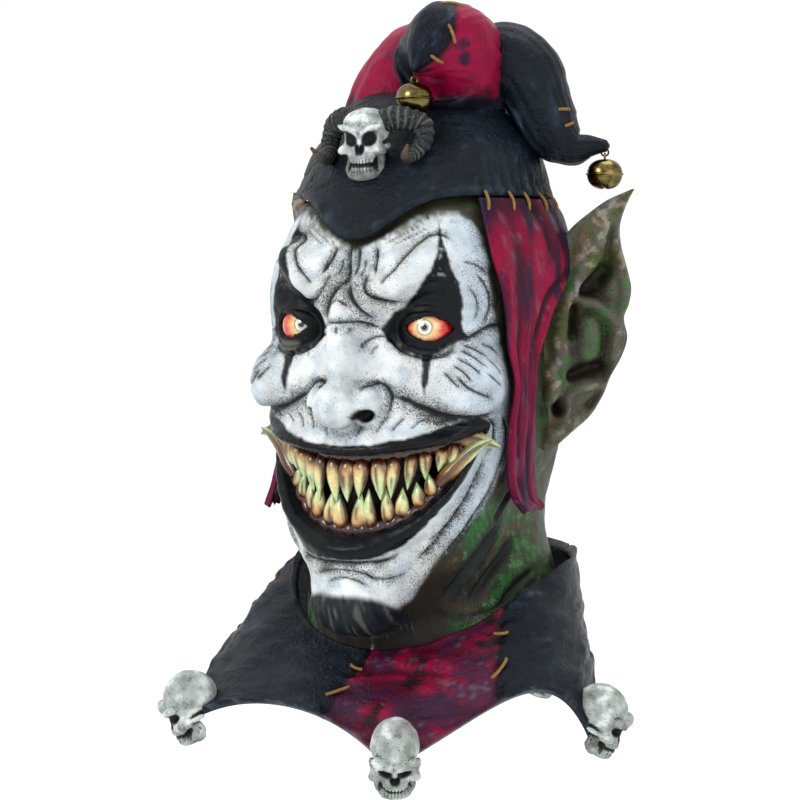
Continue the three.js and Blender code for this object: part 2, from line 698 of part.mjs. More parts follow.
const pointFinish = { front: FINISH.crimson, left: FINISH.black, right: FINISH.crimson };
let earlier = capCutter;
for (const [name, stations] of Object.entries(CAP_POINTS)) {
  const { at, turn } = BELL_LOOPS[name];
  const eyelet = solidOf(loop(LOOP.wire + GAP), loopPlace(at, turn));
  const shell = cone(stations, 0, 0).subtract(cone(stations, -POINT_WALL, 3));
  add(`cap_point_${name}`, shell.subtract(earlier).subtract(eyelet), pointFinish[name]);
  earlier = earlier.add(cone(stations, GAP, 0));
  add(`bell_loop_${name}`, solidOf(loop(LOOP.wire), loopPlace(at, turn)), FINISH.thread);
  add(`bell_${name}`, bell().transform(bellPlace(at, turn).elements), FINISH.brass);
}

for (const [name, side] of [['left', 1], ['right', -1]]) {
  const lappetRoom = solidOf(lappet(LAPPET_ROWS[name], side, GAP));
  add(`lappet_${name}`, solidOf(lappet(LAPPET_ROWS[name], side)), FINISH.crimson);
  add(`ear_${name}`, solidOf(ear(side)).subtract(headCutter).subtract(lappetRoom), FINISH.ear);
  const eyeball = new THREE.SphereGeometry(EYE.radius, 10, 7);
  const socket = new THREE.Matrix4().makeTranslation(side * EYE.x, EYE.y, EYE.z);
  add(`eye_${name}`, solidOf(eyeball, socket).subtract(headCutter), FINISH.eye);
  add(`tusk_${name}`, tusk(side).subtract(headCutter), FINISH.teeth);
  add(`brooch_horn_${name}`, horn(side).subtract(capCutter), FINISH.horn);
}

const tuskRoom = tusk(1, GAP).add(tusk(-1, GAP));
for (const [name, row] of Object.entries(TOOTH_ROWS)) {
  let teeth = solidOf(gum(row));
  for (let k = row.first; k <= -row.first; k++) teeth = teeth.add(solidOf(tooth(row, k)));
  add(`${name}_teeth`, teeth.subtract(tuskRoom).subtract(headCutter), FINISH.teeth);
}

const brooch = solidOf(skull(BROOCH_SKULL_HEIGHT, 10, 12), broochPlace(BROOCH.skullTurn));
const hornRoom = horn(1, GAP).add(horn(-1, GAP));
add('brooch_skull', brooch.subtract(capCutter).subtract(hornRoom), FINISH.bone);

const collarRoom = solidOf(collar(GAP));
add('collar', solidOf(collar(0)), FINISH.black);
POINT_ANGLES.forEach((angle, k) => {
  const skullSolid = solidOf(skull(COLLAR_SKULL_HEIGHT, 8, 10), collarSkullPlace(angle));
  add(`collar_skull_${k + 1}`, skullSolid.subtract(collarRoom), FINISH.bone);
});

export default mask;
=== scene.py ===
"""The looks of the harlequin mask: sculpted and painted latex, eyes, teeth, bells and stitches.

Every piece is worked out in millimetres in the frame's own axes: +Z up, the face along -Y and the wearer's
left +X. The origin is where the wearer's crown comes, in the hollow under the cap. Angles around the head are
in degrees, 0 at the face and positive to the wearer's left.
"""
import math

import bmesh
import bpy
import numpy as np
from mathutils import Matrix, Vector


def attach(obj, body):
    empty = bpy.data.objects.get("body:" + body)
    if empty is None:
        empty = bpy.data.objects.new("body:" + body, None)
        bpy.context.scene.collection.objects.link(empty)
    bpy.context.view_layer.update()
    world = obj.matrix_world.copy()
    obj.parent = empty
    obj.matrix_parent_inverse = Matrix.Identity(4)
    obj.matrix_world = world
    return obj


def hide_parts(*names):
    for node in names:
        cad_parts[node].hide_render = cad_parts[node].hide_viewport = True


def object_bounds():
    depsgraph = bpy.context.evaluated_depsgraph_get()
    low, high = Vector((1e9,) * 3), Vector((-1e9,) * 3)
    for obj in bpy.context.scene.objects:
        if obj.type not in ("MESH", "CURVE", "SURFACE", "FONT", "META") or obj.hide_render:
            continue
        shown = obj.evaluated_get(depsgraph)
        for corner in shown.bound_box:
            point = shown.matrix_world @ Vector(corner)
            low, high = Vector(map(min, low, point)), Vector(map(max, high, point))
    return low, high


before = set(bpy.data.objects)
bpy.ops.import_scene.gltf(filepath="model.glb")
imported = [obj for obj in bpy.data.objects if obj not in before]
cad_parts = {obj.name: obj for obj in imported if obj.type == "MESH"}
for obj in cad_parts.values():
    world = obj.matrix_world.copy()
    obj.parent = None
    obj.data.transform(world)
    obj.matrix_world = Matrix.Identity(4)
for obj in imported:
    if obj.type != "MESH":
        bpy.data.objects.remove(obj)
cad_low, cad_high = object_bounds()

MM = 0.001
MASK = "mask"
BELL_BODIES = {"front": "hanging_bell_front", "left": "hanging_bell", "right": "hanging_bell_right"}
SIDES = {"left": 1, "right": -1}
UP = np.array([0.0, 0.0, 1.0])
TINY = 1e-9


# Numbers and noise
def mix(a, b, share):
    return a + (b - a) * share


def ramp(low, high, value):
    """0 below low, 1 above high and smooth between. Runs downwards where low is above high."""
    share = np.clip((value - low) / (high - low), 0, 1)
    return share * share * (3 - 2 * share)


def unit(vectors):
    return vectors / np.maximum(np.linalg.norm(vectors, axis=-1, keepdims=True), TINY)


def turns(count):
    """Angles in radians, evenly once around."""
    return 2 * np.pi * np.arange(count) / count


def shares_and_turns(along, around):
    """Grids of the share along a tube and of the turn around it."""
    return np.meshgrid(np.linspace(0, 1, along), turns(around), indexing="ij")


def on_cylinder(turn, along, radius, length):
    """Places on a cylinder, for noise that runs around a tube."""
    return np.stack([radius * np.cos(turn), radius * np.sin(turn), length * along], -1)


RANDOM_SEED = 7
LATTICE = 32
LATTICE_COUNT = 4
SEED_SHIFT = 11.3  # cells between the noises of two seeds
LATTICES = np.random.default_rng(RANDOM_SEED).uniform(-1, 1, (LATTICE_COUNT, LATTICE, LATTICE, LATTICE))


def noise(points, size, seed=0):
    """Smooth values from -1 to 1 that change over about one size."""
    cell = np.asarray(points) / size + SEED_SHIFT * seed
    low = np.floor(cell).astype(int)
    part = cell - low
    part = part * part * (3 - 2 * part)
    lattice = LATTICES[seed % len(LATTICES)]
    total = np.zeros(cell.shape[:-1])
    for corner in np.ndindex(2, 2, 2):
        at = (low + corner) % LATTICE
        weight = np.prod(np.where(corner, part, 1 - part), axis=-1)
        total += weight * lattice[at[..., 0], at[..., 1], at[..., 2]]
    return total


def rough_noise(points, size, seed=0):
    """Noise with two finer layers on it."""
    return sum(noise(points, size / 2**k, seed + k) / 1.8**k for k in range(3)) / 1.6


# Signed distances: forms are ellipsoids that melt into each other, mirrored in x = 0
SETTLE_SHARE = 0.9  # of the way to the surface, in one step of settle
MARCH_SHARE = 0.65  # of the distance, in one step of march
LEAST_SLOPE = 0.2


def smooth_min(a, b, blend):
    overlap = np.maximum(blend - np.abs(a - b), 0) / blend
    return np.minimum(a, b) - overlap * overlap * blend / 4


def smooth_max(a, b, blend):
    return -smooth_min(-a, -b, blend)


def ellipsoid(form, x, y, z):
    _, fx, fy, fz, rx, ry, rz, roll, _ = form
    turn = math.radians(roll)
    dx, dy, dz = x - fx, y - fy, z - fz
    across = dx * math.cos(turn) + dz * math.sin(turn)
    upright = dz * math.cos(turn) - dx * math.sin(turn)
    share = np.sqrt((across / rx) ** 2 + (dy / ry) ** 2 + (upright / rz) ** 2)
    slope = np.sqrt((across / rx**2) ** 2 + (dy / ry**2) ** 2 + (upright / rz**2) ** 2)
    return share * (share - 1) / np.maximum(slope, TINY)


def forms_field(forms, hollows, points):
    x, y, z = np.abs(points[..., 0]), points[..., 1], points[..., 2]
    distance = ellipsoid(forms[0], x, y, z)
    for form in forms[1:]:
        distance = smooth_min(distance, ellipsoid(form, x, y, z), form[-1])
    for form in hollows:
        distance = smooth_max(distance, -ellipsoid(form, x, y, z), form[-1])
    return distance


def slope_of(field, points, step=0.4):
    """The field and its gradient, from four points around each point."""
    corners = np.array([[1, 1, 1], [1, -1, -1], [-1, 1, -1], [-1, -1, 1]], float)
    values = [field(points + step * corner) for corner in corners]
    gradient = sum(v[..., None] * corner for v, corner in zip(values, corners)) / (4 * step)
    return sum(values) / 4, gradient


def settle(field, points, level=0.0, times=2):
    """Points moved onto the surface where the field has that level."""
    for _ in range(times):
        value, gradient = slope_of(field, points)
        length = np.maximum((gradient**2).sum(-1), LEAST_SLOPE)
        points = points - (SETTLE_SHARE * (value - level) / length)[..., None] * gradient
    return points


def march(field, start, ray, far, level=0.0, times=70):
    """Where rays that come in from far first meet the surface of that level."""
    reach = np.full(ray.shape[:-1], float(far))
    for _ in range(times):
        reach -= MARCH_SHARE * (field(start + ray * reach[..., None]) - level)
    return start + ray * np.maximum(reach, 1)[..., None]


def heading(angle):
    turn = np.radians(angle)
    return np.stack([np.sin(turn), -np.cos(turn), np.zeros_like(turn)], -1)


# Head: much the same forms as the solid's, with lips, lids and nostrils worked out finer
HEAD_AXIS_Y = 10
FAR = 190
NECK_CENTRE_Y = 27
NECK_WIDTH_R = 92
NECK_DEPTH_R = 94
# name, x, y, z, rx, ry, rz, roll in degrees, blend
HEAD_FORMS = [
    ("cranium", 0, 14, -96, 92, 104, 101, 0, 1),
    ("nape", 0, 36, -205, 86, 74, 96, 0, 30),
    ("neck", 0, NECK_CENTRE_Y, -372, NECK_WIDTH_R, NECK_DEPTH_R, 170, 0, 24),
    ("face", 0, -20, -186, 88, 82, 112, 0, 26),
    ("jaw", 0, -44, -258, 66, 62, 64, 0, 24),
    ("chin", 0, -86, -306, 31, 30, 29, 0, 18),
    ("cheek", 63, -60, -168, 28, 32, 25, -20, 12),
    ("temple", 54, -46, -112, 28, 34, 44, 4, 16),
    ("brow", 32, -83, -99, 28, 19, 16, 30, 10),
    ("brow_knot", 10, -94, -114, 11, 13, 15, 0, 7),
    ("nose_bridge", 0, -102, -146, 9, 20, 38, 0, 7),
    ("nose_tip", 0, -116, -181, 14.5, 17, 14.5, 0, 6),
    ("nose_wing", 16, -103, -180, 9.5, 14, 11, 0, 3),
    ("muzzle", 0, -76, -208, 62, 34, 20, 0, 12),
    ("under_lip", 0, -82, -282, 38, 28, 14, 0, 10),
]
HEAD_HOLLOWS = [
    ("eye_socket", 45, -98, -132, 23, 24, 15, 16, 6),
    ("nostril", 17, -111.5, -188, 6.5, 10, 4, 26, 1.5),
]
EYE_CENTRE = np.array([45.0, -72.0, -133.0])
EYE_R = 17
LID_WALL = 2.8
LID_HEADING = 27  # the way the lids open
LID_HALF_WIDTH = 15
LID_HALF_HEIGHT = 7
LID_RISE = 0.5  # middle of the opening above the eye's
LID_BLEND = 3
LID_EDGE_BLEND = 1.2
SMILE_ANGLE = 48
MOUTH_DEPTH = 24
MOUTH_BLEND = 4
LIP_EDGE_BLEND = 3
LIP_END = 1.1  # shares of the smile's angle: where the lips end, and over which they fade
LIP_FADE = 0.3
LIP_UP_Z = -214
LIP_LOW_Z = -265
LIP_UP_CURVE = 1.6
LIP_LOW_CURVE = 2.2
MOUTH_CORNER_Z = -200


def angle_of(points):
    return np.degrees(np.arctan2(points[..., 0], HEAD_AXIS_Y - points[..., 1]))


def upper_lip_z(angle):
    return mix(LIP_UP_Z, MOUTH_CORNER_Z, (np.abs(angle) / SMILE_ANGLE) ** LIP_UP_CURVE)


def lower_lip_z(angle):
    return mix(LIP_LOW_Z, MOUTH_CORNER_Z, (np.abs(angle) / SMILE_ANGLE) ** LIP_LOW_CURVE)


# edge, offset, swell, width
LIPS = [(upper_lip_z, 3.5, 4, 4.5), (lower_lip_z, -8, 6, 8)]


def head_form(points):
    angle = angle_of(points)
    distance = forms_field(HEAD_FORMS, HEAD_HOLLOWS, points)
    fade = np.clip((LIP_END - np.abs(angle) / SMILE_ANGLE) / LIP_FADE, 0, 1)
    for edge, offset, swell, width in LIPS:
        off = (points[..., 2] - edge(angle) - offset) / width
        distance = distance - swell * fade * np.exp(-off * off)
    return distance


def from_eye(points):
    """Places measured from the middle of the eye on their own side, as on the wearer's left."""
    return np.stack([np.abs(points[..., 0]), points[..., 1], points[..., 2]], -1) - EYE_CENTRE


def lid_opening(points):
    """Distance to the almond between the lids, as a hole along the way that the eye faces."""
    local = from_eye(points)
    turn = math.radians(LID_HEADING)
    across = local[..., 0] * math.cos(turn) + local[..., 1] * math.sin(turn)
    ahead = local[..., 0] * math.sin(turn) - local[..., 1] * math.cos(turn)
    bow = (LID_HALF_WIDTH**2 + LID_HALF_HEIGHT**2) / (2 * LID_HALF_HEIGHT)
    drop = bow - LID_HALF_HEIGHT
    upright = local[..., 2] - LID_RISE
    almond = np.maximum(np.hypot(across, upright - drop), np.hypot(across, upright + drop)) - bow
    return np.maximum(almond, -ahead)


def head_field(points):
    form = head_form(points)
    lids = np.sqrt((from_eye(points) ** 2).sum(-1)) - EYE_R - LID_WALL
    form = smooth_min(form, lids, LID_BLEND)
    angle = angle_of(points)
    beyond = np.maximum(lower_lip_z(angle) - points[..., 2], points[..., 2] - upper_lip_z(angle))
    pocket = smooth_max(beyond, -form - MOUTH_DEPTH, MOUTH_BLEND)
    form = smooth_max(form, -pocket, LIP_EDGE_BLEND)
    return smooth_max(form, -lid_opening(points), LID_EDGE_BLEND)


def on_axis(z):
    z = np.asarray(z, float)
    return np.stack([np.zeros_like(z), np.full_like(z, HEAD_AXIS_Y), z], -1)


# Rows and columns of a surface
LEAST_R = 0.15  # of a swept tube
LEAST_SIDE = 0.1
OTHER_UP = (0, 1, 0.1)
FINE_STEPS = 4000


def spaced(stops):
    """Values from the first stop to the last. A stop is a value and the step between neighbours there."""
    values, step = np.array(stops, float).T
    fine = np.linspace(values[0], values[-1], FINE_STEPS)
    passed = np.cumsum(1 / np.interp(fine, values, step)) * (fine[1] - fine[0])
    passed -= passed[0]
    return np.interp(np.linspace(0, passed[-1], int(round(passed[-1])) + 1), passed, fine)


def grid_faces(rows, columns, rows_around=False):
    count = rows if rows_around else rows - 1
    i, j = np.meshgrid(np.arange(count), np.arange(columns), indexing="ij")
    below, beside = (i + 1) % rows, (j + 1) % columns
    corners = [i * columns + j, i * columns + beside, below * columns + beside, below * columns + j]
    return np.stack(corners, -1).reshape(-1, 4)


def torus(rings):
    """A closed surface through rings that come back to the first one."""
    rows, columns = rings.shape[:2]
    return rings.reshape(-1, 3), grid_faces(rows, columns, True).tolist()


def tube(rings):
    """A closed surface through rings, with each end shut by a fan."""
    rows, columns = rings.shape[:2]
    points = np.concatenate([rings.reshape(-1, 3), rings[[0, -1]].mean(1)])
    faces = grid_faces(rows, columns).tolist()
    last = (rows - 1) * columns
    for j in range(columns):
        beside = (j + 1) % columns
        faces.append([beside, j, rows * columns])
        faces.append([last + j, last + beside, rows * columns + 1])
    return points, faces


def with_poles(values):
    """Values on a tube's rings, and their means for the two ends."""
    flat = values.reshape(-1, *values.shape[2:])
    return np.concatenate([flat, values[[0, -1]].mean(1)])


def folded(front, back):
    """Rings that run along the front of a sheet and return along its back."""
    return np.concatenate([front, back[:, ::-1]], 1)


def grid_normals(rings):
    across = np.roll(rings, -1, 1) - np.roll(rings, 1, 1)
    return unit(np.cross(np.gradient(rings, axis=0), across))


def joined(pieces):
    """Several points-and-faces pairs as one."""
    points, faces = [], []
    start = 0
    for some_points, some_faces in pieces:
        points.append(some_points)
        faces += [[k + start for k in face] for face in some_faces]
        start += len(some_points)
    return np.concatenate(points), faces


def smooth_path(stations, count):
    """A curve through the stations, which may carry a radius or more as further columns."""
    stations = np.asarray(stations, float)
    ends = np.concatenate([[2 * stations[0] - stations[1]], stations, [2 * stations[-1] - stations[-2]]])
    at = np.linspace(0, len(stations) - 1, count)
    k = np.minimum(at.astype(int), len(stations) - 2)
    t = (at - k)[:, None]
    a, b, c, d = ends[k], ends[k + 1], ends[k + 2], ends[k + 3]
    return 0.5 * (2 * b + (c - a) * t + (2 * a - 5 * b + 4 * c - d) * t**2 + (3 * b - a - 3 * c + d) * t**3)


def frames_along(path, up):
    """Side and top along a path, without twist. The first side is square to up, or to OTHER_UP."""
    tangent = unit(np.gradient(path, axis=0))
    side = np.cross(tangent[0], up)
    if np.linalg.norm(side) < LEAST_SIDE:
        side = np.cross(tangent[0], OTHER_UP)
    sides = []
    for direction in tangent:
        side = unit(side - direction * (side @ direction))
        sides.append(side)
    sides = np.array(sides)
    return sides, np.cross(sides, tangent)


def sweep(stations, around, along, flat=1.0, up=UP):
    """Rings along a curve through stations of x, y, z and radius. flat narrows them from top to bottom."""
    path = smooth_path(stations, along)
    side, top = frames_along(path[:, :3], up)
    turn = turns(around)
    radius = np.maximum(path[:, 3], LEAST_R)[:, None, None]
    ring = np.cos(turn)[None, :, None] * side[:, None] + flat * np.sin(turn)[None, :, None] * top[:, None]
    return path[:, None, :3] + radius * ring


# Colour: linear values of named paints
def linear(code):
    shares = np.array([int(code[k : k + 2], 16) for k in (1, 3, 5)]) / 255
    return np.where(shares <= 0.04045, shares / 12.92, ((shares + 0.055) / 1.055) ** 2.4)


# The dark wash colour serves the speckle and the crease lines, and is also laid as painted shade in hollows.
PAINT_CODES = {
    "white": "#cfd3d3", "cool_white": "#a9b9c6", "wash_and_shade": "#1a1b1d", "ink": "#0a0d12",
    "olive": "#3f4030", "moss": "#35592c", "green": "#237a2c", "brown": "#6b4a33",
    "umber": "#2b211a", "grey": "#77766f", "pale_grey": "#a9a69c", "charcoal": "#20272d",
    "blue_black": "#071019", "steel": "#253340", "frost": "#6a7a88", "crimson": "#860a37",
    "wine": "#3c0820", "plum": "#2c1a35", "bone": "#9da5a2", "bone_light": "#d3d8d6",
    "horn": "#2d2f31", "horn_tip": "#5c4f42", "gum": "#2b0f11", "gum_pink": "#6b2a33",
    "ivory": "#d0c08a", "mint": "#a3d09a", "stain": "#431c08", "amber": "#b5742c",
    "blood": "#b91a10", "orange": "#d8835a", "iris": "#ded8cb", "iris_edge": "#8b8f90",
    "pupil": "#050505", "thread": "#8a6a41", "loop": "#4a1416", "brass": "#7d7048",
    "tarnish": "#4c421f", "bell_slot": "#171309",
}
PAINT = {name: linear(code) for name, code in PAINT_CODES.items()}


def plain(shape, name):
    return np.broadcast_to(PAINT[name], (*shape, 3)).copy()


def lay(coat, name, mask):
    """A coat with a paint laid over it where the mask says."""
    return mix(coat, PAINT[name], np.clip(mask, 0, 1)[..., None])


# Materials
def new_material(name):
    material = bpy.data.materials.new(name)
    material.use_nodes = True
    return material, material.node_tree, material.node_tree.nodes["Principled BSDF"]


def noise_node(tree, size_mm, detail=3.0, stretch=(1, 1, 1), distortion=0.0):
    """A noise texture in the piece's own space, whose grain is about size_mm."""
    place = tree.nodes.new("ShaderNodeTexCoord")
    mapping = tree.nodes.new("ShaderNodeMapping")
    mapping.inputs["Scale"].default_value = [1 / s for s in stretch]
    tree.links.new(place.outputs["Object"], mapping.inputs["Vector"])
    texture = tree.nodes.new("ShaderNodeTexNoise")
    texture.inputs["Scale"].default_value = 1 / (size_mm * MM)
    texture.inputs["Detail"].default_value = detail
    texture.inputs["Distortion"].default_value = distortion
    tree.links.new(mapping.outputs["Vector"], texture.inputs["Vector"])
    return texture.outputs["Fac"]


def math_node(tree, operation, *values):
    node = tree.nodes.new("ShaderNodeMath")
    node.operation = operation
    for socket, value in zip(node.inputs, values):
        if isinstance(value, (int, float)):
            socket.default_value = value
        else:
            tree.links.new(value, socket)
    return node.outputs[0]


def range_node(tree, value, low, high, to_low=0.0, to_high=1.0):
    node = tree.nodes.new("ShaderNodeMapRange")
    tree.links.new(value, node.inputs["Value"])
    for key, number in {"From Min": low, "From Max": high, "To Min": to_low, "To Max": to_high}.items():
        node.inputs[key].default_value = number
    return node.outputs["Result"]


def mix_colour(tree, share, first, second):
    node = tree.nodes.new("ShaderNodeMix")
    node.data_type = "RGBA"
    for key, value in {"Factor_Float": share, "A_Color": first, "B_Color": second}.items():
        socket = next(s for s in node.inputs if s.identifier == key)
        if isinstance(value, bpy.types.NodeSocket):
            tree.links.new(value, socket)
        elif key == "Factor_Float":
            socket.default_value = value
        else:
            socket.default_value = (*value, 1)
    return next(s for s in node.outputs if s.identifier == "Result_Color")


def attribute(tree, name, output):
    node = tree.nodes.new("ShaderNodeAttribute")
    node.attribute_name = name
    return node.outputs[output]


def toned(tree, shade):
    """The piece's paint, made darker or lighter."""
    node = tree.nodes.new("ShaderNodeVectorMath")
    node.operation = "SCALE"
    tree.links.new(attribute(tree, "paint", "Color"), node.inputs[0])
    tree.links.new(shade, node.inputs["Scale"])
    return node.outputs[0]


def raise_bumps(tree, shader, height, strength, depth_mm):
    node = tree.nodes.new("ShaderNodeBump")
    node.inputs["Strength"].default_value = strength
    node.inputs["Distance"].default_value = depth_mm * MM
    tree.links.new(height, node.inputs["Height"])
    tree.links.new(node.outputs["Normal"], shader.inputs["Normal"])


NOISE_BAND = (0.3, 0.7)  # where most values of a noise texture lie
GRIME_REACH = 0.42  # how far full grime and painted shade push the speckle over its threshold
SPOT_BAND = 0.16
CLOUD_MM = 14
LATEX_BUMP_MM = 0.8
THREAD_BUMP_MM = 0.3


def painted(
    name, speckle, speckle_mm, rough, pores_mm, bump, wrinkle_mm,
    stretch=(1, 1, 1), shine=0.12, spots_from=0.62,
):
    """Painted latex. The coat is the piece's paint, its grime and painted shade set how thick the speckle
    lies, and its gloss runs between the two roughnesses. Fine noise breaks up the coat and raises pores."""
    material, tree, shader = new_material(name)
    grain = noise_node(tree, speckle_mm, 4, stretch)
    grime_and_shade = attribute(tree, "grime_and_shade", "Fac")
    reach = math_node(tree, "ADD", grain, math_node(tree, "MULTIPLY", grime_and_shade, GRIME_REACH))
    spots = range_node(tree, reach, spots_from, spots_from + SPOT_BAND, 0.0, 0.9)
    broad = noise_node(tree, CLOUD_MM)
    coat = toned(tree, range_node(tree, broad, *NOISE_BAND, 0.82, 1.1))
    tree.links.new(mix_colour(tree, spots, coat, PAINT[speckle]), shader.inputs["Base Color"])
    shader.inputs["Specular IOR Level"].default_value = shine
    gloss = attribute(tree, "gloss", "Fac")
    uneven = range_node(tree, broad, *NOISE_BAND, -0.06, 0.06)
    dull = range_node(tree, gloss, 0, 1, *rough)
    tree.links.new(math_node(tree, "ADD", dull, uneven), shader.inputs["Roughness"])
    pores = noise_node(tree, pores_mm, 2, stretch)
    folds = noise_node(tree, wrinkle_mm, 3, stretch, 0.6)
    height = math_node(tree, "MULTIPLY_ADD", folds, 2.0, pores)
    raise_bumps(tree, shader, height, bump, LATEX_BUMP_MM)
    return material


def glazed(name, rough, coat):
    """A smooth painted surface under clear gloss."""
    material, tree, shader = new_material(name)
    cloud = noise_node(tree, 2.5)
    shade = range_node(tree, cloud, *NOISE_BAND, 0.85, 1.1)
    tree.links.new(toned(tree, shade), shader.inputs["Base Color"])
    tree.links.new(range_node(tree, cloud, *NOISE_BAND, rough, rough + 0.1), shader.inputs["Roughness"])
    shader.inputs["Coat Weight"].default_value = coat
    shader.inputs["Coat Roughness"].default_value = 0.06
    return material


def brass_material():
    material, tree, shader = new_material("brass")
    tarnish = noise_node(tree, 5, 4)
    scratch = noise_node(tree, 1.2, 2, (1, 1, 0.2))
    share = range_node(tree, tarnish, 0.42, 0.68)
    colour = mix_colour(tree, share, PAINT["brass"], PAINT["tarnish"])
    # Painted shade: the slot and its holes go near black, for the dark inside the bell.
    colour = mix_colour(tree, attribute(tree, "grime_and_shade", "Fac"), colour, PAINT["bell_slot"])
    tree.links.new(colour, shader.inputs["Base Color"])
    tree.links.new(range_node(tree, scratch, 0.2, 0.8, 0.12, 0.3), shader.inputs["Roughness"])
    shader.inputs["Metallic"].default_value = 1
    return material


def thread_material():
    material, tree, shader = new_material("thread")
    strands = noise_node(tree, 0.7, 2, (1, 1, 4))
    shade = range_node(tree, strands, *NOISE_BAND, 0.6, 1.15)
    tree.links.new(toned(tree, shade), shader.inputs["Base Color"])
    shader.inputs["Roughness"].default_value = 0.85
    shader.inputs["Specular IOR Level"].default_value = 0.2
    raise_bumps(tree, shader, strands, 0.5, THREAD_BUMP_MM)
    return material


# Painted: name, speckle's paint and grain, roughness without and with gloss, grain of the pores, bump and
# grain of the folds. Glazed: name, roughness, clear coat
MATERIAL = {
    "skin": painted("painted_skin", "wash_and_shade", 0.8, (0.6, 0.14), 0.8, 0.3, 5, shine=0.2),
    "cap": painted("cap_latex", "frost", 1.1, (0.38, 0.26), 0.9, 0.8, 4, shine=0.18, spots_from=0.74),
    "cloth": painted("crimson_latex", "plum", 1.0, (0.45, 0.24), 0.9, 0.45, 5, (1, 1, 3)),
    "ear": painted("mottled_latex", "umber", 1.1, (0.55, 0.3), 1.0, 0.45, 5),
    "bone": painted("bone_latex", "wash_and_shade", 0.9, (0.6, 0.3), 0.8, 0.45, 3),
    "horn": painted("horn_latex", "grey", 0.9, (0.6, 0.4), 0.7, 0.5, 2.5),
    "tooth": glazed("tooth_gloss", 0.22, 0.6),
    "eye": glazed("eye_gloss", 0.12, 1.0),
    "brass": brass_material(),
    "thread": thread_material(),
}


# Pieces
def new_piece(name, shape, material, paint, grime_and_shade=0.0, gloss=0.0):
    points, faces = shape
    mesh = bpy.data.meshes.new(name)
    mesh.from_pydata((points * MM).tolist(), [], faces)
    count = len(points)
    rgba = np.ones((count, 4), np.float32)
    rgba[:, :3] = paint
    mesh.attributes.new("paint", "FLOAT_COLOR", "POINT").data.foreach_set("color", rgba.ravel())
    for key, values in {"grime_and_shade": grime_and_shade, "gloss": gloss}.items():
        flat = np.broadcast_to(np.asarray(values, np.float32), (count,))
        mesh.attributes.new(key, "FLOAT", "POINT").data.foreach_set("value", np.ascontiguousarray(flat))
    build = bmesh.new()
    build.from_mesh(mesh)
    bmesh.ops.recalc_face_normals(build, faces=build.faces)
    build.to_mesh(mesh)
    build.free()
    mesh.polygons.foreach_set("use_smooth", np.ones(len(mesh.polygons), bool))
    mesh.materials.append(MATERIAL[material])
    piece = bpy.data.objects.new(name, mesh)
    bpy.context.scene.collection.objects.link(piece)
    return piece


def make_piece(node, shape, material, paint, grime_and_shade=0.0, gloss=0.0, body=MASK):
    """A dressed piece that takes the place of a solid."""
    piece = new_piece(f"{node}_look", shape, material, paint, grime_and_shade, gloss)
    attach(piece, body)
    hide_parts(node)


def tube_piece(node, rings, material, coat, grime_and_shade=0.0, gloss=0.0):
    """A piece that is one tube, with its values given on the rings or as one number."""
    values = [value if np.isscalar(value) else with_poles(value) for value in (grime_and_shade, gloss)]
    make_piece(node, tube(rings), material, with_poles(coat), *values)


# Strokes on any sheet: height, width and a line of points
STROKE_POINTS = 40
STROKE_ENDS = 0.25  # share of its height that a stroke keeps at its ends


def stroke_profile(width, points, x, y, x_scale=1.0):
    """A stroke's share of its height at places x, y: full in its middle, thinner at its ends."""
    line = smooth_path(points, STROKE_POINTS)
    square = ((x[..., None] - line[:, 0]) * x_scale) ** 2 + (y[..., None] - line[:, 1]) ** 2
    nearest = square.argmin(-1)
    share = nearest / (len(line) - 1)
    fade = ramp(0, 0.18, share) * ramp(1, 0.78, share)
    off = np.sqrt(np.take_along_axis(square, nearest[..., None], -1)[..., 0]) / width
    return mix(STROKE_ENDS, 1, fade) * np.exp(-off * off)


def strokes_at(strokes, x, y):
    return sum(height * stroke_profile(width, points, x, y) for height, width, points in strokes)


# Face drawing: creases and makeup on a canvas of angle and height
CANVAS_ANGLE = 110  # degrees to each side
CANVAS_TOP_Z = -40
CANVAS_LOW_Z = -370
CANVAS_STEP_ANGLE = 0.25
CANVAS_STEP_Z = 0.5
MM_PER_DEGREE = 1.75
CANVAS_A = np.arange(-CANVAS_ANGLE, CANVAS_ANGLE + 0.01, CANVAS_STEP_ANGLE)
CANVAS_Z = np.arange(CANVAS_TOP_Z, CANVAS_LOW_Z, -CANVAS_STEP_Z)

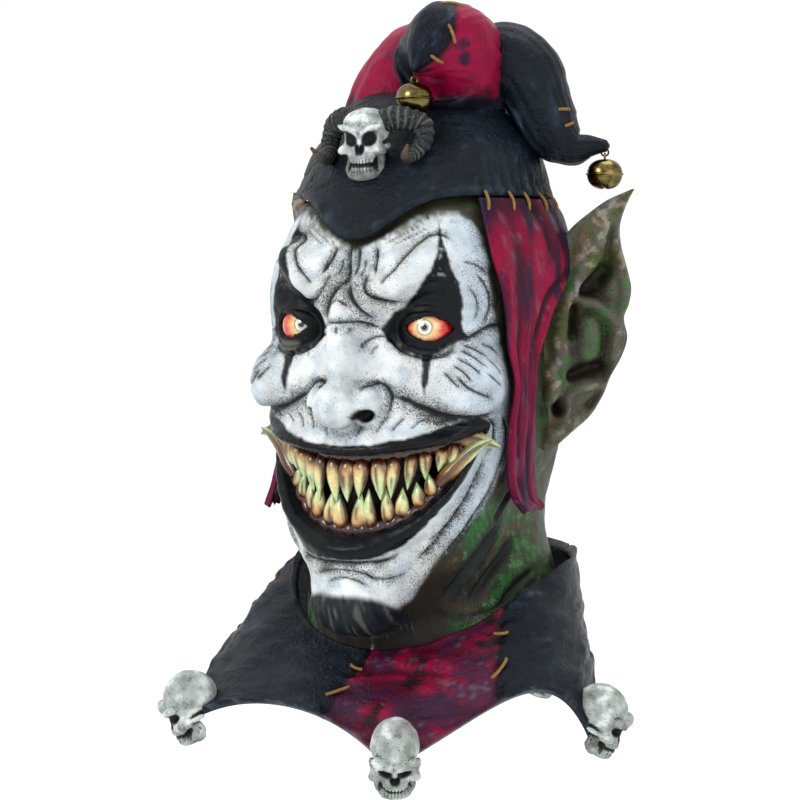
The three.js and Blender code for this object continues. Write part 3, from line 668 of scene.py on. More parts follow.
# Creases on the wearer's left, mirrored to the right: depth, width, points of angle and height
CREASES = [
    (2.4, 2.2, [(7.5, -97), (7, -104), (9, -111), (14, -115.5), (20, -116)]),  # lower swirl of the brow
    (2.6, 2.2, [(1, -101), (2.5, -108), (4.5, -116), (7, -123), (10, -128)]),  # brow against the nose
    (2.0, 1.9, [(8.5, -80), (9.3, -88), (10, -99)]),  # upright line in the brow
    (1.9, 2.0, [(16, -98), (19, -90), (22, -83), (26, -76), (30, -72.5), (34, -73), (38, -78)]),  # brow arch
    (1.1, 1.5, [(12.5, -105), (15.5, -98), (18, -93)]),
    (1.0, 1.4, [(5, -88), (4.5, -95), (5.5, -101)]),
    (1.3, 1.5, [(5, -147), (6, -142), (8, -139), (11, -137.5), (14, -138.5)]),  # arc on the nose bridge
    (0.8, 1.3, [(8, -150), (9, -146), (11, -143)]),
    (2.6, 1.8, [(6.5, -172), (8, -168.5), (11, -167), (14, -169), (15.8, -175), (15.4, -182), (13.5, -189)]),
    (3.0, 3.4, [(15.5, -176), (20, -177), (25, -182), (31, -187), (38, -189.5), (46, -189.5), (53, -186)]),
    (1.6, 1.6, [(36, -161), (39, -168), (43, -173), (50, -178)]),  # long crease of the cheek
    (1.2, 1.3, [(32, -158), (34.5, -164), (37, -170)]),
    (1.2, 1.3, [(35, -154), (38.5, -159.5), (41, -166)]),
    (1.2, 1.3, [(36.5, -150), (41, -155), (44.5, -162)]),
    (1.2, 1.3, [(38, -146), (43, -150.5), (47, -157)]),
    (1.2, 1.3, [(39, -142.5), (44, -146), (49, -151)]),
    (1.0, 1.3, [(46, -142), (51, -145), (55, -150)]),
    (0.9, 1.2, [(48, -152), (51, -157), (53, -163)]),
    (0.9, 1.2, [(46, -160), (49, -165), (53, -170)]),
    (2.1, 2.0, [(39, -141), (44, -136.5), (50, -132), (57, -130)]),  # from the outer corner of the eye
    (1.1, 1.6, [(44, -96), (48, -104), (50, -114), (49, -124), (46, -131)]),  # temple
    (0.8, 1.4, [(41, -104), (44, -112), (45, -121), (43, -129)]),
    (0.7, 1.4, [(40, -90), (45, -92), (50, -98)]),
    (0.7, 1.4, [(52, -100), (54, -112), (53, -122)]),
    (1.9, 1.8, [(14, -137), (17, -144), (22, -149.5), (28, -151), (34, -148), (38, -142)]),  # under the eye
    (1.2, 1.2, [(18, -141), (23, -145), (28, -146.5), (33, -144.5), (36, -141)]),
    (1.5, 1.3, [(17.5, -127), (21, -122.5), (27, -120.5), (32, -122.5), (36.5, -128)]),  # upper lid
    (1.0, 1.6, [(22, -117), (27, -112), (31, -110), (36, -112)]),
    (0.8, 1.4, [(26, -106), (30, -103), (35, -105)]),
    (0.7, 1.1, [(11, -79), (19, -72.5), (28, -65)]),  # forehead, under the rim of the cap
    (0.7, 1.1, [(14, -80), (22, -74), (29, -68)]),
    (0.7, 1.1, [(20, -69), (28, -62), (36, -59)]),
    (0.9, 1.2, [(11, -199), (13, -192), (16, -187)]),  # upper lip
    (0.9, 1.2, [(16, -198), (18, -193), (21, -188)]),
    (0.8, 1.1, [(5, -202), (6, -197), (6.5, -194)]),
    (0.8, 1.1, [(22, -196), (25, -192), (28, -189)]),
    (0.8, 1.1, [(29, -193), (33, -191), (38, -191)]),
    (1.7, 2.0, [(49, -190), (53, -196), (53.5, -205), (51, -214)]),  # round the corner of the mouth
    (1.4, 2.0, [(57, -190), (60, -200), (60, -214), (56.5, -228)]),
    (2.4, 2.3, [(51, -213), (46.5, -230), (41, -246), (35, -260), (28, -275), (23, -284)]),  # jaw folds
    (1.5, 2.0, [(57, -226), (53, -240), (46, -255), (39, -269), (31, -284)]),
    (0.9, 1.3, [(40, -248), (33, -262), (27, -271)]),
    (2.8, 4.0, [(36, -312), (44, -296), (54, -279), (66, -262)]),  # folds of the neck
    (2.4, 3.6, [(48, -318), (58, -302), (70, -288), (84, -276)]),
    (2.0, 3.4, [(60, -262), (66, -250), (74, -240)]),
    (2.2, 3.2, [(66, -318), (78, -308), (92, -300)]),
    (1.2, 1.6, [(30, -322), (44, -326), (60, -322), (76, -314)]),
]
# Creases across the middle, drawn once
MIDDLE_CREASES = [
    (2.4, 2.3, [(-2, -78), (-2.3, -90), (-0.8, -102)]),
    (1.6, 1.6, [(2, -80), (1.8, -90), (1, -101)]),
    (2.0, 1.6, [(-11, -132), (-6, -130), (0, -128), (5, -128.5), (8, -130.5), (12, -132.5)]),
    (0.9, 1.0, [(1.3, -131), (1, -136)]),
    (0.9, 1.0, [(3.6, -131), (3.2, -137)]),
    (0.9, 1.0, [(-2, -131), (-2.6, -136)]),
    (1.0, 1.2, [(-3, -118), (0, -114), (3, -119)]),
    (2.2, 2.6, [(-20, -274), (-14, -281), (-6, -282.5), (0, -282), (8, -282), (15, -280.5), (20, -274)]),
    (1.5, 1.6, [(-14, -293), (-8, -291), (-3, -287.5), (3, -286.5), (8, -289), (12, -293), (18, -292),
                (22, -288)]),
    (1.0, 1.3, [(-5, -296), (1, -292), (6, -293.5), (10, -298)]),
]
# Swells between the creases: height, width, points
SWELLS = [
    (2.2, 6, [(12, -108), (18, -102), (23, -93), (28, -84), (31, -78)]),
    (1.4, 4, [(4.5, -98), (4, -105), (6.5, -113), (10, -119)]),
    (1.6, 5, [(20, -158), (26, -168), (34, -178), (44, -182), (52, -178)]),
    (1.3, 4, [(20, -183.5), (28, -192), (36, -195), (46, -196)]),
    (1.8, 5, [(56, -215), (50, -236), (43, -252), (35, -268), (27, -282)]),
    (1.3, 3, [(20, -147), (27, -149), (34, -145)]),
    (1.0, 3.5, [(-6, -287), (0, -284.5), (6, -285.5)]),
    (2.2, 6, [(42, -308), (50, -292), (60, -274), (72, -260)]),
    (2.0, 6, [(56, -316), (66, -300), (80, -286)]),
]
# Makeup of the eyes, 1 the wearer's left and -1 the right: a spike above the brow and a dark socket
SOCKET_EDGE = [(42, -138), (36, -143), (31, -149), (25, -150), (18, -147), (13, -141)]
EYE_SPIKES = {
    1: [(11, -133), (16, -122), (20, -118), (24, -109), (28, -96), (31, -82), (32.4, -64), (34, -80),
        (35.8, -94), (38.5, -104), (39.5, -118), (39, -130), *SOCKET_EDGE],
    -1: [(11, -133), (14, -122), (17, -115), (20, -106), (20, -96), (23, -86), (28, -76), (37, -63),
         (37, -78), (37, -92), (38, -104), (40, -118), (40, -130), *SOCKET_EDGE],
}
# Tear under both eyes
EYE_TEAR = [(25.3, -146), (26, -158), (26.3, -168), (27, -177), (27.8, -168), (28.4, -157), (30.5, -146)]
# Where the white coat ends on the side of the face: height, angle
WHITE_EDGE = [
    (-50, 40), (-62, 46), (-75, 49), (-95, 50), (-115, 51), (-130, 53), (-145, 57), (-165, 59), (-190, 60),
    (-205, 62), (-225, 60), (-240, 56), (-252, 50), (-262, 43), (-272, 37), (-285, 31), (-300, 25),
    (-310, 21), (-320, 15), (-330, 8), (-340, 0),
]
# Outlines by angle and height: where the white ends below the cap, the lips' paint and the top of the goatee
WHITE_TOP = [(0, -85), (6, -79), (12, -73), (20, -67), (28, -62), (34, -58), (41, -59), (47, -65), (60, -80)]
LIP_UP_PAINT = [(0, -207), (10, -206), (20, -202), (30, -197), (38, -191.5), (46, -190), (50, -193)]
LIP_LOW_PAINT = [
    (0, -280), (10, -279.5), (20, -271), (28, -256), (36, -240), (42, -225), (47, -211), (50, -199),
]
GOATEE_TOP = [(0, -303), (6, -303), (12, -306), (16, -311), (19, -318), (22, -330)]


def draw_stroke(canvas, height, width, points):
    """Adds a stroke to the part of a canvas that it reaches."""
    line = smooth_path(points, STROKE_POINTS)
    reach = 4 * width
    columns = np.abs(CANVAS_A - line[:, 0].mean()) < np.ptp(line[:, 0]) / 2 + reach / MM_PER_DEGREE + 4
    rows = (CANVAS_Z < line[:, 1].max() + reach) & (CANVAS_Z > line[:, 1].min() - reach)
    angle, z = np.meshgrid(CANVAS_A[columns], CANVAS_Z[rows])
    canvas[np.ix_(rows, columns)] += height * stroke_profile(width, points, angle, z, MM_PER_DEGREE)


def drawn(strokes, wider=1.0):
    canvas = np.zeros((len(CANVAS_Z), len(CANVAS_A)))
    for height, width, points in strokes:
        draw_stroke(canvas, height, wider * width, points)
    return canvas


def both_sides(strokes):
    return strokes + [
        (height, width, [(-angle, z) for angle, z in points])
        for height, width, points in strokes
    ]


def sample(canvas, angle, z):
    """Canvas values at places given by angle and height."""
    column = np.clip((angle + CANVAS_ANGLE) / CANVAS_STEP_ANGLE, 0, len(CANVAS_A) - 1.001)
    row = np.clip((CANVAS_TOP_Z - z) / CANVAS_STEP_Z, 0, len(CANVAS_Z) - 1.001)
    j, i = column.astype(int), row.astype(int)
    u, v = column - j, row - i
    upper = mix(canvas[i, j], canvas[i, j + 1], u)
    lower = mix(canvas[i + 1, j], canvas[i + 1, j + 1], u)
    return mix(upper, lower, v)


def inside_polygon(corners, angle, z):
    """Distance inside a polygon of angles and heights, in mm. Negative outside."""
    x, y = angle * MM_PER_DEGREE, z
    corner = np.array(corners, float) * [MM_PER_DEGREE, 1]
    nearest = np.full(x.shape, 1e9)
    inside = np.zeros(x.shape, bool)
    for (x0, y0), (x1, y1) in zip(corner, np.roll(corner, -1, 0)):
        dx, dy = x1 - x0, y1 - y0
        share = np.clip(((x - x0) * dx + (y - y0) * dy) / (dx * dx + dy * dy), 0, 1)
        nearest = np.minimum(nearest, np.hypot(x - x0 - share * dx, y - y0 - share * dy))
        crosses = (y0 > y) != (y1 > y)
        inside ^= crosses & (x < x0 + (y - y0) * dx / (dy if dy else TINY))
    return np.where(inside, nearest, -nearest)


def between(table, at):
    keys, values = np.array(sorted(table), float).T
    return np.interp(at, keys, values)


ALL_CREASES = both_sides(CREASES) + MIDDLE_CREASES
crease_canvas = drawn(ALL_CREASES, 0.75)
shoulder_canvas = drawn(ALL_CREASES, 2.2)
INK_LINES = [(min(1.1, 0.45 + 0.4 * depth), width, points) for depth, width, points in ALL_CREASES]
line_canvas = drawn(INK_LINES, 0.5)
swell_canvas = drawn(both_sides(SWELLS))

# Head skin
SKIN_WALL = 3
INNER_ROWS = 24
INNER_COLUMNS = 4
SKIN_TOP = 30  # depths below the crown where the skin starts, and where its rows begin to follow the collar
SKIN_LEVEL_TO = 300
SKIN_END = 372
SKIN_UNDER_COLLAR = 18
CAP_TUCK = 6
CAP_TUCK_OVER = 6
CAP_CENTRE = np.array([0.0, 12.0, -60.0])
RIM_RISE = 8  # degrees above the cap's centre, less the peak over the brow and the drop to the nape
RIM_PEAK = 17
RIM_PEAK_ANGLE = 21
RIM_NAPE = 24
RIM_NAPE_FROM = 100
RIM_NAPE_OVER = 60
SIDE_LIFT = 13
TOP_LIFT = 16
NECKLINE_Z = -298
NECKLINE_DROP = 51
SMILE_FROM = 188  # depths between which rows follow the smile
SMILE_TO = 340
SMILE_END_ANGLE = 84
SMILE_FADE_ANGLE = 32


def turned(angle):
    return np.abs((angle + 180) % 360 - 180)


def rim_rise(angle):
    """Height of the cap's rim as an angle above the cap's centre."""
    peak = RIM_PEAK * np.exp(-((turned(angle) / RIM_PEAK_ANGLE) ** 2))
    nape = RIM_NAPE * np.clip((turned(angle) - RIM_NAPE_FROM) / RIM_NAPE_OVER, 0, 1)
    return RIM_RISE - peak - nape


def cap_surface(angle, rise, level):
    angle, rise = np.broadcast_arrays(np.asarray(angle, float), np.asarray(rise, float))
    climb = np.radians(rise)[..., None]
    ray = heading(angle) * np.cos(climb) + UP * np.sin(climb)
    return march(head_form, CAP_CENTRE, ray, FAR, level)


def crown_lift(angle, rise):
    """How far the cap stands off the head: at its sides and on top, under its points."""
    beside = np.sin(np.radians(angle)) ** 2 * ramp(4, 36, rise) * ramp(86, 50, rise)
    return SIDE_LIFT * beside + TOP_LIFT * ramp(36, 72, rise)


def neckline_z(angle):
    return NECKLINE_Z - NECKLINE_DROP * np.maximum(np.cos(np.radians(angle)), 0) ** 1.5


def skin_z(depth, angle):
    share = np.clip((depth - SKIN_LEVEL_TO) / (SKIN_END - SKIN_LEVEL_TO), 0, 1)
    end = neckline_z(angle) - SKIN_UNDER_COLLAR
    return np.where(depth < SKIN_LEVEL_TO, -depth, mix(-SKIN_LEVEL_TO, end, share))


def smile_lift(depth, angle):
    """How far rows near the mouth are lifted, so that the lips run along them."""
    share = np.minimum(turned(angle) / SMILE_ANGLE, 1)
    fade = np.clip((SMILE_END_ANGLE - turned(angle)) / SMILE_FADE_ANGLE, 0, 1)
    upper = (MOUTH_CORNER_Z - LIP_UP_Z) * share**LIP_UP_CURVE * fade
    lower = (MOUTH_CORNER_Z - LIP_LOW_Z) * share**LIP_LOW_CURVE * fade
    above = upper * np.clip((depth - SMILE_FROM) / (-LIP_UP_Z - SMILE_FROM), 0, 1)
    inside = mix(upper, lower, (depth + LIP_UP_Z) / (LIP_UP_Z - LIP_LOW_Z))
    below = lower * np.clip((SMILE_TO - depth) / (SMILE_TO + LIP_LOW_Z), 0, 1)
    return np.where(depth < -LIP_UP_Z, above, np.where(depth < -LIP_LOW_Z, inside, below))


def head_grid(depths, columns):
    depth, angle = np.meshgrid(depths, columns, indexing="ij")
    z = skin_z(depth, angle) + smile_lift(depth, angle)
    return march(head_field, on_axis(z), heading(angle), FAR)


def relaxed(rings, field, times):
    """Rings with their points spread more evenly over the surface."""
    for _ in range(times):
        spread = rings.copy()
        beside = np.roll(rings, 1, 1) + np.roll(rings, -1, 1)
        spread[1:-1] = 0.5 * rings[1:-1] + 0.125 * (rings[:-2] + rings[2:] + beside[1:-1])
        rings = settle(field, spread, times=1)
    return settle(field, rings)


def tucked(rings, rim_z):
    """Rings pulled in where the cap lies over them."""
    under = np.clip((rings[..., 2] - rim_z) / CAP_TUCK_OVER + 1, 0, 1)[..., None]
    return rings - CAP_TUCK * under * unit(rings - on_axis(rings[..., 2]))


def head_relief(rings, normal):
    """How far the creases, the goatee and the pores move the skin out."""
    angle, z = angle_of(rings), rings[..., 2]
    facing = np.clip(1.6 * (normal * heading(angle)).sum(-1), 0, 1)
    crease = sample(crease_canvas, angle, z)
    shoulder = sample(shoulder_canvas, angle, z)
    relief = facing * (0.5 * shoulder - 1.6 * crease + sample(swell_canvas, angle, z))
    relief += 0.5 * noise(rings, 9, 1) + 0.25 * noise(rings, 4, 2)
    return relief + goatee_mask(angle, z) * (1.3 + 0.6 * goatee_hair(angle, z))


def goatee_hair(angle, z):
    """Strands that fan out as they run down the chin."""
    across = angle * MM_PER_DEGREE / (1 - 0.012 * (z + 300))
    place = np.stack([across / 1.2, (z + 0.2 * across) / 11, np.zeros_like(z)], -1)
    return 1.6 * noise(place, 1, 2)


def goatee_mask(angle, z):
    top = between(GOATEE_TOP, np.abs(angle))
    return ramp(2, -3, z - top) * ramp(24, 20, np.abs(angle)) * ramp(-345, -330, z)


def head_coat(rings, normal):
    """Paint, grime and painted shade, and gloss of the head. The paint holds painted shade and highlights as
    well.
    """
    angle, z = angle_of(rings), rings[..., 2]
    side = np.abs(angle)
    broken = rough_noise(rings, 9, 0)
    patch = rough_noise(rings, 22, 1)
    fine = rough_noise(rings, 4, 2)
    crease = np.clip(sample(line_canvas, angle, z), 0, 1.2)
    halo = np.clip(sample(shoulder_canvas, angle, z) / 2.2, 0, 1)

    coat = plain(side.shape, "olive")
    coat = lay(coat, "umber", 0.7 * ramp(-0.15, 0.35, patch))
    coat = lay(coat, "moss", 0.8 * ramp(0.05, 0.4, broken) * ramp(30, 45, side))
    neck = ramp(-235, -262, z) * ramp(26, 44, side) * ramp(120, 80, side)
    coat = lay(coat, "brown", 0.7 * neck * ramp(-0.2, 0.3, -broken))
    coat = lay(coat, "green", 0.95 * neck * ramp(-0.2, 0.2, patch + 0.6 * fine))
    coat = lay(coat, "pale_grey", 0.3 * neck * ramp(0.2, 0.5, fine))
    near_collar = ramp(-22, -6, -(z - neckline_z(angle)) - 24)
    coat = lay(coat, "pale_grey", 0.55 * near_collar * ramp(0.0, 0.4, fine + 0.2))
    jaw_shadow = ramp(-270, -300, z) * ramp(52, 34, side)
    coat = lay(coat, "umber", 0.85 * jaw_shadow)
    coat = lay(coat, "wash_and_shade", 0.75 * halo * ramp(20, 30, side))

    edge = (between(WHITE_EDGE, z) - side) * MM_PER_DEGREE + 3.0 * broken + 1.5 * fine
    top = between(WHITE_TOP, side) - z + 2.5 * broken + 1.5 * fine
    white = ramp(-2.5, 3.5, edge) * ramp(-2.5, 3.5, top)
    coat = lay(coat, "white", white)
    # A painted bluish sheen on the white, growing towards the sides of the face.
    coat = lay(coat, "cool_white", 0.7 * white * ramp(26, 46, side))
    coat = lay(coat, "olive", 0.75 * white * ramp(9, 0, top) * ramp(0.1, -0.3, fine))
    coat = lay(coat, "moss", 0.5 * white * ramp(10, 0, top) * ramp(0.1, 0.4, patch))
    coat = lay(coat, "wash_and_shade", 0.35 * white * ramp(10, 0, edge) * ramp(-0.1, 0.4, fine))
    coat = lay(coat, "cool_white", 0.55 * white * ramp(-0.1, 0.4, broken))
    coat = lay(coat, "grey", 0.2 * white * ramp(0.0, 0.5, patch))
    coat = lay(coat, "grey", 0.5 * white * halo * ramp(-0.4, 0.3, fine))
    coat = lay(coat, "wash_and_shade", ramp(0.12, 0.75, crease + 0.25 * fine * crease) * 0.97)
    # Painted shade in the hollows: darker where a point a little way out along the normal is still near the
    # skin.
    cavity = np.clip(1 - head_field(rings + 7 * normal) / 7, 0, 1)
    coat = lay(coat, "wash_and_shade", 0.7 * ramp(0.32, 0.95, cavity + 0.2 * fine))

    spikes = [inside_polygon(corners, sign * angle, z) for sign, corners in EYE_SPIKES.items()]
    spike = np.maximum(*spikes) + 1.1 * fine
    tear = inside_polygon(EYE_TEAR, side, z) + 0.9 * fine
    makeup = np.maximum(ramp(-0.7, 0.9, spike), ramp(-0.8, 0.6, tear))
    dry = ramp(0.25, 0.5, fine) * ramp(-112, -96, z) * 0.4
    coat = lay(coat, "ink", makeup * (1 - dry))
    # A painted highlight: grey on the bulging bags under the eyes.
    bag = ramp(-141, -144, z) * ramp(-156, -149, z) * ramp(13, 17, side) * ramp(39, 35, side)
    coat = lay(coat, "grey", 0.6 * bag * ramp(0.0, 0.3, broken + 0.6 * fine) * (1 - crease))

    upper = np.minimum(between(LIP_UP_PAINT, side) - z, ramp(51, 49, side) * 40 - 20)
    lower = z - between(LIP_LOW_PAINT, side)
    lips = ramp(-0.8, 0.8, upper + 0.7 * fine) * ramp(-0.8, 0.8, lower + 0.7 * fine) * ramp(51.5, 50, side)
    coat = lay(coat, "ink", lips)
    between_lips = np.minimum(upper_lip_z(angle) - z, z - lower_lip_z(angle))
    coat = lay(coat, "gum", 0.8 * ramp(0, 2.5, between_lips) * ramp(49, 47, side))
    goatee = goatee_mask(angle, z)
    coat = lay(coat, "charcoal", goatee)
    hair = goatee_hair(angle, z)
    coat = lay(coat, "grey", 0.45 * goatee * ramp(0.4, 1.1, hair))
    coat = lay(coat, "ink", 0.7 * goatee * ramp(0.0, -0.8, hair))
    # Painted shade: each nostril's dent is painted near black, as the dark inside a nostril hole.
    nostril = -ellipsoid(HEAD_HOLLOWS[1], np.abs(rings[..., 0]), rings[..., 1], rings[..., 2])
    coat = lay(coat, "ink", ramp(-1.8, -0.2, nostril))

    # The speckle lies thicker by the creases, towards the white's edge and in patches, and in the hollows as
    # painted shade.
    grime_and_shade = 0.02 + 0.36 * halo + 0.3 * ramp(16, 0, edge) + 0.3 * np.clip(patch, 0, 1) + 0.35 * cavity
    grime_and_shade = np.where(makeup + lips + goatee > 0.5, 0, grime_and_shade)
    gloss = np.clip(0.25 + 0.2 * makeup + 0.75 * lips + 0.2 * (1 - white), 0, 1)
    return coat, grime_and_shade, gloss


def inner_wall(cast):
    """A few rings inside the skin, from its foot up, that keep the wall's thickness under every hollow."""
    axis = on_axis(cast[..., 2])
    out = np.linalg.norm(cast - axis, axis=-1)
    least = np.min([np.roll(out, shift, 1) for shift in range(-INNER_COLUMNS, INNER_COLUMNS + 1)], 0)
    rows = np.linspace(len(cast) - 1, 0, INNER_ROWS).astype(int)
    gap = rows[0] - rows[1] + 1
    rings = []
    for row in rows:
        nearby = least[max(row - gap, 0) : row + gap + 1].min(0)
        share = (nearby - SKIN_WALL) / out[row]
        rings.append(axis[row] + (cast[row] - axis[row]) * share[:, None])
    return np.array(rings)


# Stops of angle and of depth, each with the step between neighbours there
SKIN_COLUMNS = [(-180, 5), (-100, 2), (-64, 0.58), (64, 0.58), (100, 2), (180, 5)]
SKIN_DEPTHS = [(SKIN_TOP, 5), (62, 2.5), (74, 1.03), (316, 1.03), (345, 3), (SKIN_END, 4)]


def head_skin():
    columns = spaced(SKIN_COLUMNS)[:-1]
    cast = head_grid(spaced(SKIN_DEPTHS), columns)
    bare = relaxed(cast, head_field, 8)
    rim_z = cap_surface(columns, rim_rise(columns), 0)[:, 2]
    normal = -grid_normals(bare)
    normal *= np.sign((normal * heading(angle_of(bare))).sum(-1).mean())
    outer = tucked(bare + normal * head_relief(bare, normal)[..., None], rim_z)
    inner = tucked(inner_wall(cast), rim_z)
    coat, grime_and_shade, gloss = head_coat(bare, normal)
    inside = inner.shape[:2]
    make_piece(
        "head_skin",
        torus(np.concatenate([outer, inner])),
        "skin",
        np.concatenate([coat, plain(inside, "olive")]).reshape(-1, 3),
        np.concatenate([grime_and_shade, np.full(inside, 0.3)]).ravel(),
        np.concatenate([gloss, np.zeros(inside)]).ravel(),
    )


# Eyes: they look a little to the wearer's left
GAZE_TURN = 15.0
GAZE_LIFT = 0.09  # radians
GAZE = heading(np.array(GAZE_TURN)) * math.cos(GAZE_LIFT) + UP * math.sin(GAZE_LIFT)
EYE_AROUND = 64
EYE_ROWS = [(1, 1), (24, 1.5), (60, 5), (178, 12)]  # degrees off the gaze, and the step there
IRIS_R = 4.6
PUPIL_R = 1.9
CORNEA = 0.7


def eye(name, side):
    across = unit(np.cross(GAZE, UP))
    upward = np.cross(across, GAZE)
    off, turn = np.meshgrid(np.radians(spaced(EYE_ROWS)), turns(EYE_AROUND), indexing="ij")
    from_axis = EYE_R * off
    radius = EYE_R + CORNEA * ramp(1.2 * IRIS_R, 0, from_axis)
    ring = np.cos(turn)[..., None] * across + np.sin(turn)[..., None] * upward
    rings = radius[..., None] * (np.cos(off)[..., None] * GAZE + np.sin(off)[..., None] * ring)
    rings = rings + EYE_CENTRE * [side, 1, 1]
    streaks = noise(np.stack([turn * 9, np.zeros_like(turn), from_axis * 0.12], -1), 1, 2)
    coat = plain(off.shape, "blood")
    coat = lay(coat, "orange", ramp(14, 8, from_axis + 1.6 * streaks))
    coat = lay(coat, "ivory", 0.8 * ramp(10.5, 6, from_axis + 1.4 * streaks))
    coat = lay(coat, "stain", 0.8 * ramp(IRIS_R + 0.8, IRIS_R + 0.3, from_axis))
    coat = lay(coat, "iris", ramp(IRIS_R + 0.2, IRIS_R - 0.3, from_axis))
    coat = lay(coat, "iris_edge", 0.7 * ramp(PUPIL_R + 1.5, PUPIL_R + 0.6, from_axis + 0.5 * streaks))
    coat = lay(coat, "pupil", ramp(PUPIL_R + 0.25, PUPIL_R - 0.25, from_axis))
    tube_piece(f"eye_{name}", rings, "eye", coat)


# Teeth: fat at the root, pointed, each row on a gum
TOOTH_STEP = 5.5
LAST_TOOTH = 7.5
TOOTH_R = 6.1
TOOTH_BEHIND = 7
TOOTH_AROUND = 16
TOOTH_ALONG = 18
TUSK_AROUND = 24
TUSK_ALONG = 40
GUM_HALF_ANGLE = 44
GUM_AROUND = 14
GUM_ALONG = 150
GUM_HALF_DEPTH = 4.2
GUM_HALF_HEIGHT = 5.5
# share of the length, share of the radius
TOOTH_PROFILE = [(0, 0.35), (0.08, 0.8), (0.25, 1), (0.5, 0.88), (0.75, 0.52), (0.92, 0.2), (1, 0.05)]
# name: edge of the lip, way the teeth point, inset from the lip, length in the middle and at the side,
# number of the first tooth, how far behind the lips
TOOTH_ROWS = {
    "upper": (upper_lip_z, -1, 3, 31, 14, -7, 5.5),
    "lower": (lower_lip_z, 1, 1.0, 28, 13, -7.5, 9.0),
}
# angle, z, how far behind the lips, radius
TUSKS = [
    [(32, -234, 9, 5.5), (36, -226, 7, 7), (41, -216, 2.5, 6.2), (45.5, -208, -3.5, 4),
     (49, -203.5, -8.5, 0.6)],
    [(36, -203.5, 9, 6), (41, -203, 6, 7.4), (46, -204, 1, 6), (49.5, -206.5, -4, 3.8),
     (52.5, -209, -9, 0.6)],
]


def mouth_point(angle, z, behind):
    """A place in the mouth, measured back from the front of the lips."""
    middle = (upper_lip_z(angle) + lower_lip_z(angle)) / 2
    front = march(head_form, on_axis(middle), heading(angle), FAR)
    out = np.linalg.norm(front - on_axis(middle), axis=-1)
    return on_axis(z) + heading(angle) * (out - behind)[..., None]


def enamel(share, turn, at):
    """Paint along a tooth: stained at the root and in streaks, pale green at the tip."""
    streak = noise(on_cylinder(turn, share, 6, 3) + at, 1.6, 1)
    mottle = rough_noise(on_cylinder(turn, share, 8, 12) + at, 4, 2)
    coat = plain(share.shape, "ivory")
    coat = lay(coat, "mint", 0.75 * ramp(0.4, 0.8, share + 0.35 * mottle))
    coat = lay(coat, "amber", 0.8 * ramp(0.5, 0.1, share + 0.3 * mottle))
    coat = lay(coat, "stain", ramp(0.3, 0.08, share + 0.22 * streak))
    coat = lay(coat, "stain", 0.9 * ramp(0.12, 0.45, streak) * ramp(1.0, 0.5, share))
    # Darker along the two sides of each tooth, which face its neighbours.
    coat = lay(coat, "stain", 0.85 * ramp(0.72, 0.97, np.abs(np.cos(turn)) + 0.15 * mottle))
    return coat


def tooth(root, tip, radius, seed):
    share = np.linspace(0, 1, TOOTH_ALONG)
    bow = np.sin(np.pi * share)[:, None] * heading(angle_of(root)) * 1.2
    path = mix(root, tip, share[:, None]) + bow
    swell = np.interp(share, *np.array(TOOTH_PROFILE).T) * radius
    rings = sweep(np.column_stack([path, swell]), TOOTH_AROUND, TOOTH_ALONG, 0.8)
    return tube(rings), with_poles(enamel(*shares_and_turns(TOOTH_ALONG, TOOTH_AROUND), 7.7 * seed))


def gum(edge, down, inset):
    angle = np.linspace(-GUM_HALF_ANGLE, GUM_HALF_ANGLE, GUM_ALONG)
    turn = turns(GUM_AROUND)[None, :, None]
    bump = 1 + 0.16 * np.cos(2 * np.pi * angle / TOOTH_STEP) + 0.1 * noise(on_axis(angle), 2.5, 1)
    fade = ramp(GUM_HALF_ANGLE, 30, np.abs(angle)) * 0.6 + 0.4
    middle = mouth_point(angle, edge(angle) + down * 0.45 * inset, TOOTH_BEHIND + 1.5)
    spread = np.cos(turn) * heading(angle)[:, None] * GUM_HALF_DEPTH + np.sin(turn) * UP * GUM_HALF_HEIGHT
    rings = middle[:, None] + spread * (bump * fade)[:, None, None]
    coat = plain(rings.shape[:2], "gum")
    coat = lay(coat, "gum_pink", 0.5 * ramp(0.1, 0.5, noise(rings, 5, 2)) * (0.4 if down < 0 else 1))
    return tube(rings), with_poles(coat)


def tooth_piece(node, pieces):
    """One piece from several shapes with their paint."""
    shapes, coats = zip(*pieces)
    make_piece(node, joined(shapes), "tooth", np.concatenate(coats))


def teeth(name):
    edge, down, inset, middle, side, first, behind = TOOTH_ROWS[name]
    pieces = [gum(edge, down, inset)]
    for k in np.arange(first, -first + 0.1):
        angle = np.array(TOOTH_STEP * k + 0.7 * math.sin(3.3 * k))
        share = abs(k) / LAST_TOOTH
        root_z = edge(angle) + down * inset
        length = mix(middle, side, share) * (1 + 0.12 * math.sin(5.1 * k + down))
        radius = TOOTH_R * mix(1, 0.72, share) * (1 + 0.08 * math.sin(7.3 * k))
        lean = np.array(angle + 1.1 * math.sin(4.1 * k) - 0.04 * angle)
        root = mouth_point(angle, root_z, behind)
        tip = mouth_point(lean, root_z + down * length, behind - 0.5)
        pieces.append(tooth(root, tip, radius, k + 20 * down))
    tooth_piece(f"{name}_teeth", pieces)


def tusks(name, side):
    pieces = []
    for stations in TUSKS:
        angle, z, behind, radius = np.array(stations, float).T
        path = mouth_point(side * angle, z, behind)
        rings = sweep(np.column_stack([path, radius]), TUSK_AROUND, TUSK_ALONG, 0.85)
        coat = enamel(*shares_and_turns(TUSK_ALONG, TUSK_AROUND), 3.1 * side + radius.sum())
        pieces.append((tube(rings), with_poles(coat)))
    tooth_piece(f"tusk_{name}", pieces)


# Cap: a dome over the crown, with a rolled rim that dips to a point over the brow
CAP_LIFT = 1.2
CAP_TOP = 4.2  # level of the dome's outside
CAP_ROWS = 60
CAP_COLUMNS = 220
CAP_INNER_ROWS = 14
CAP_END_RISE = 89
CAP_ARC = 80  # about how far it is from the rim to the top
CAP_BEAD = 1.3


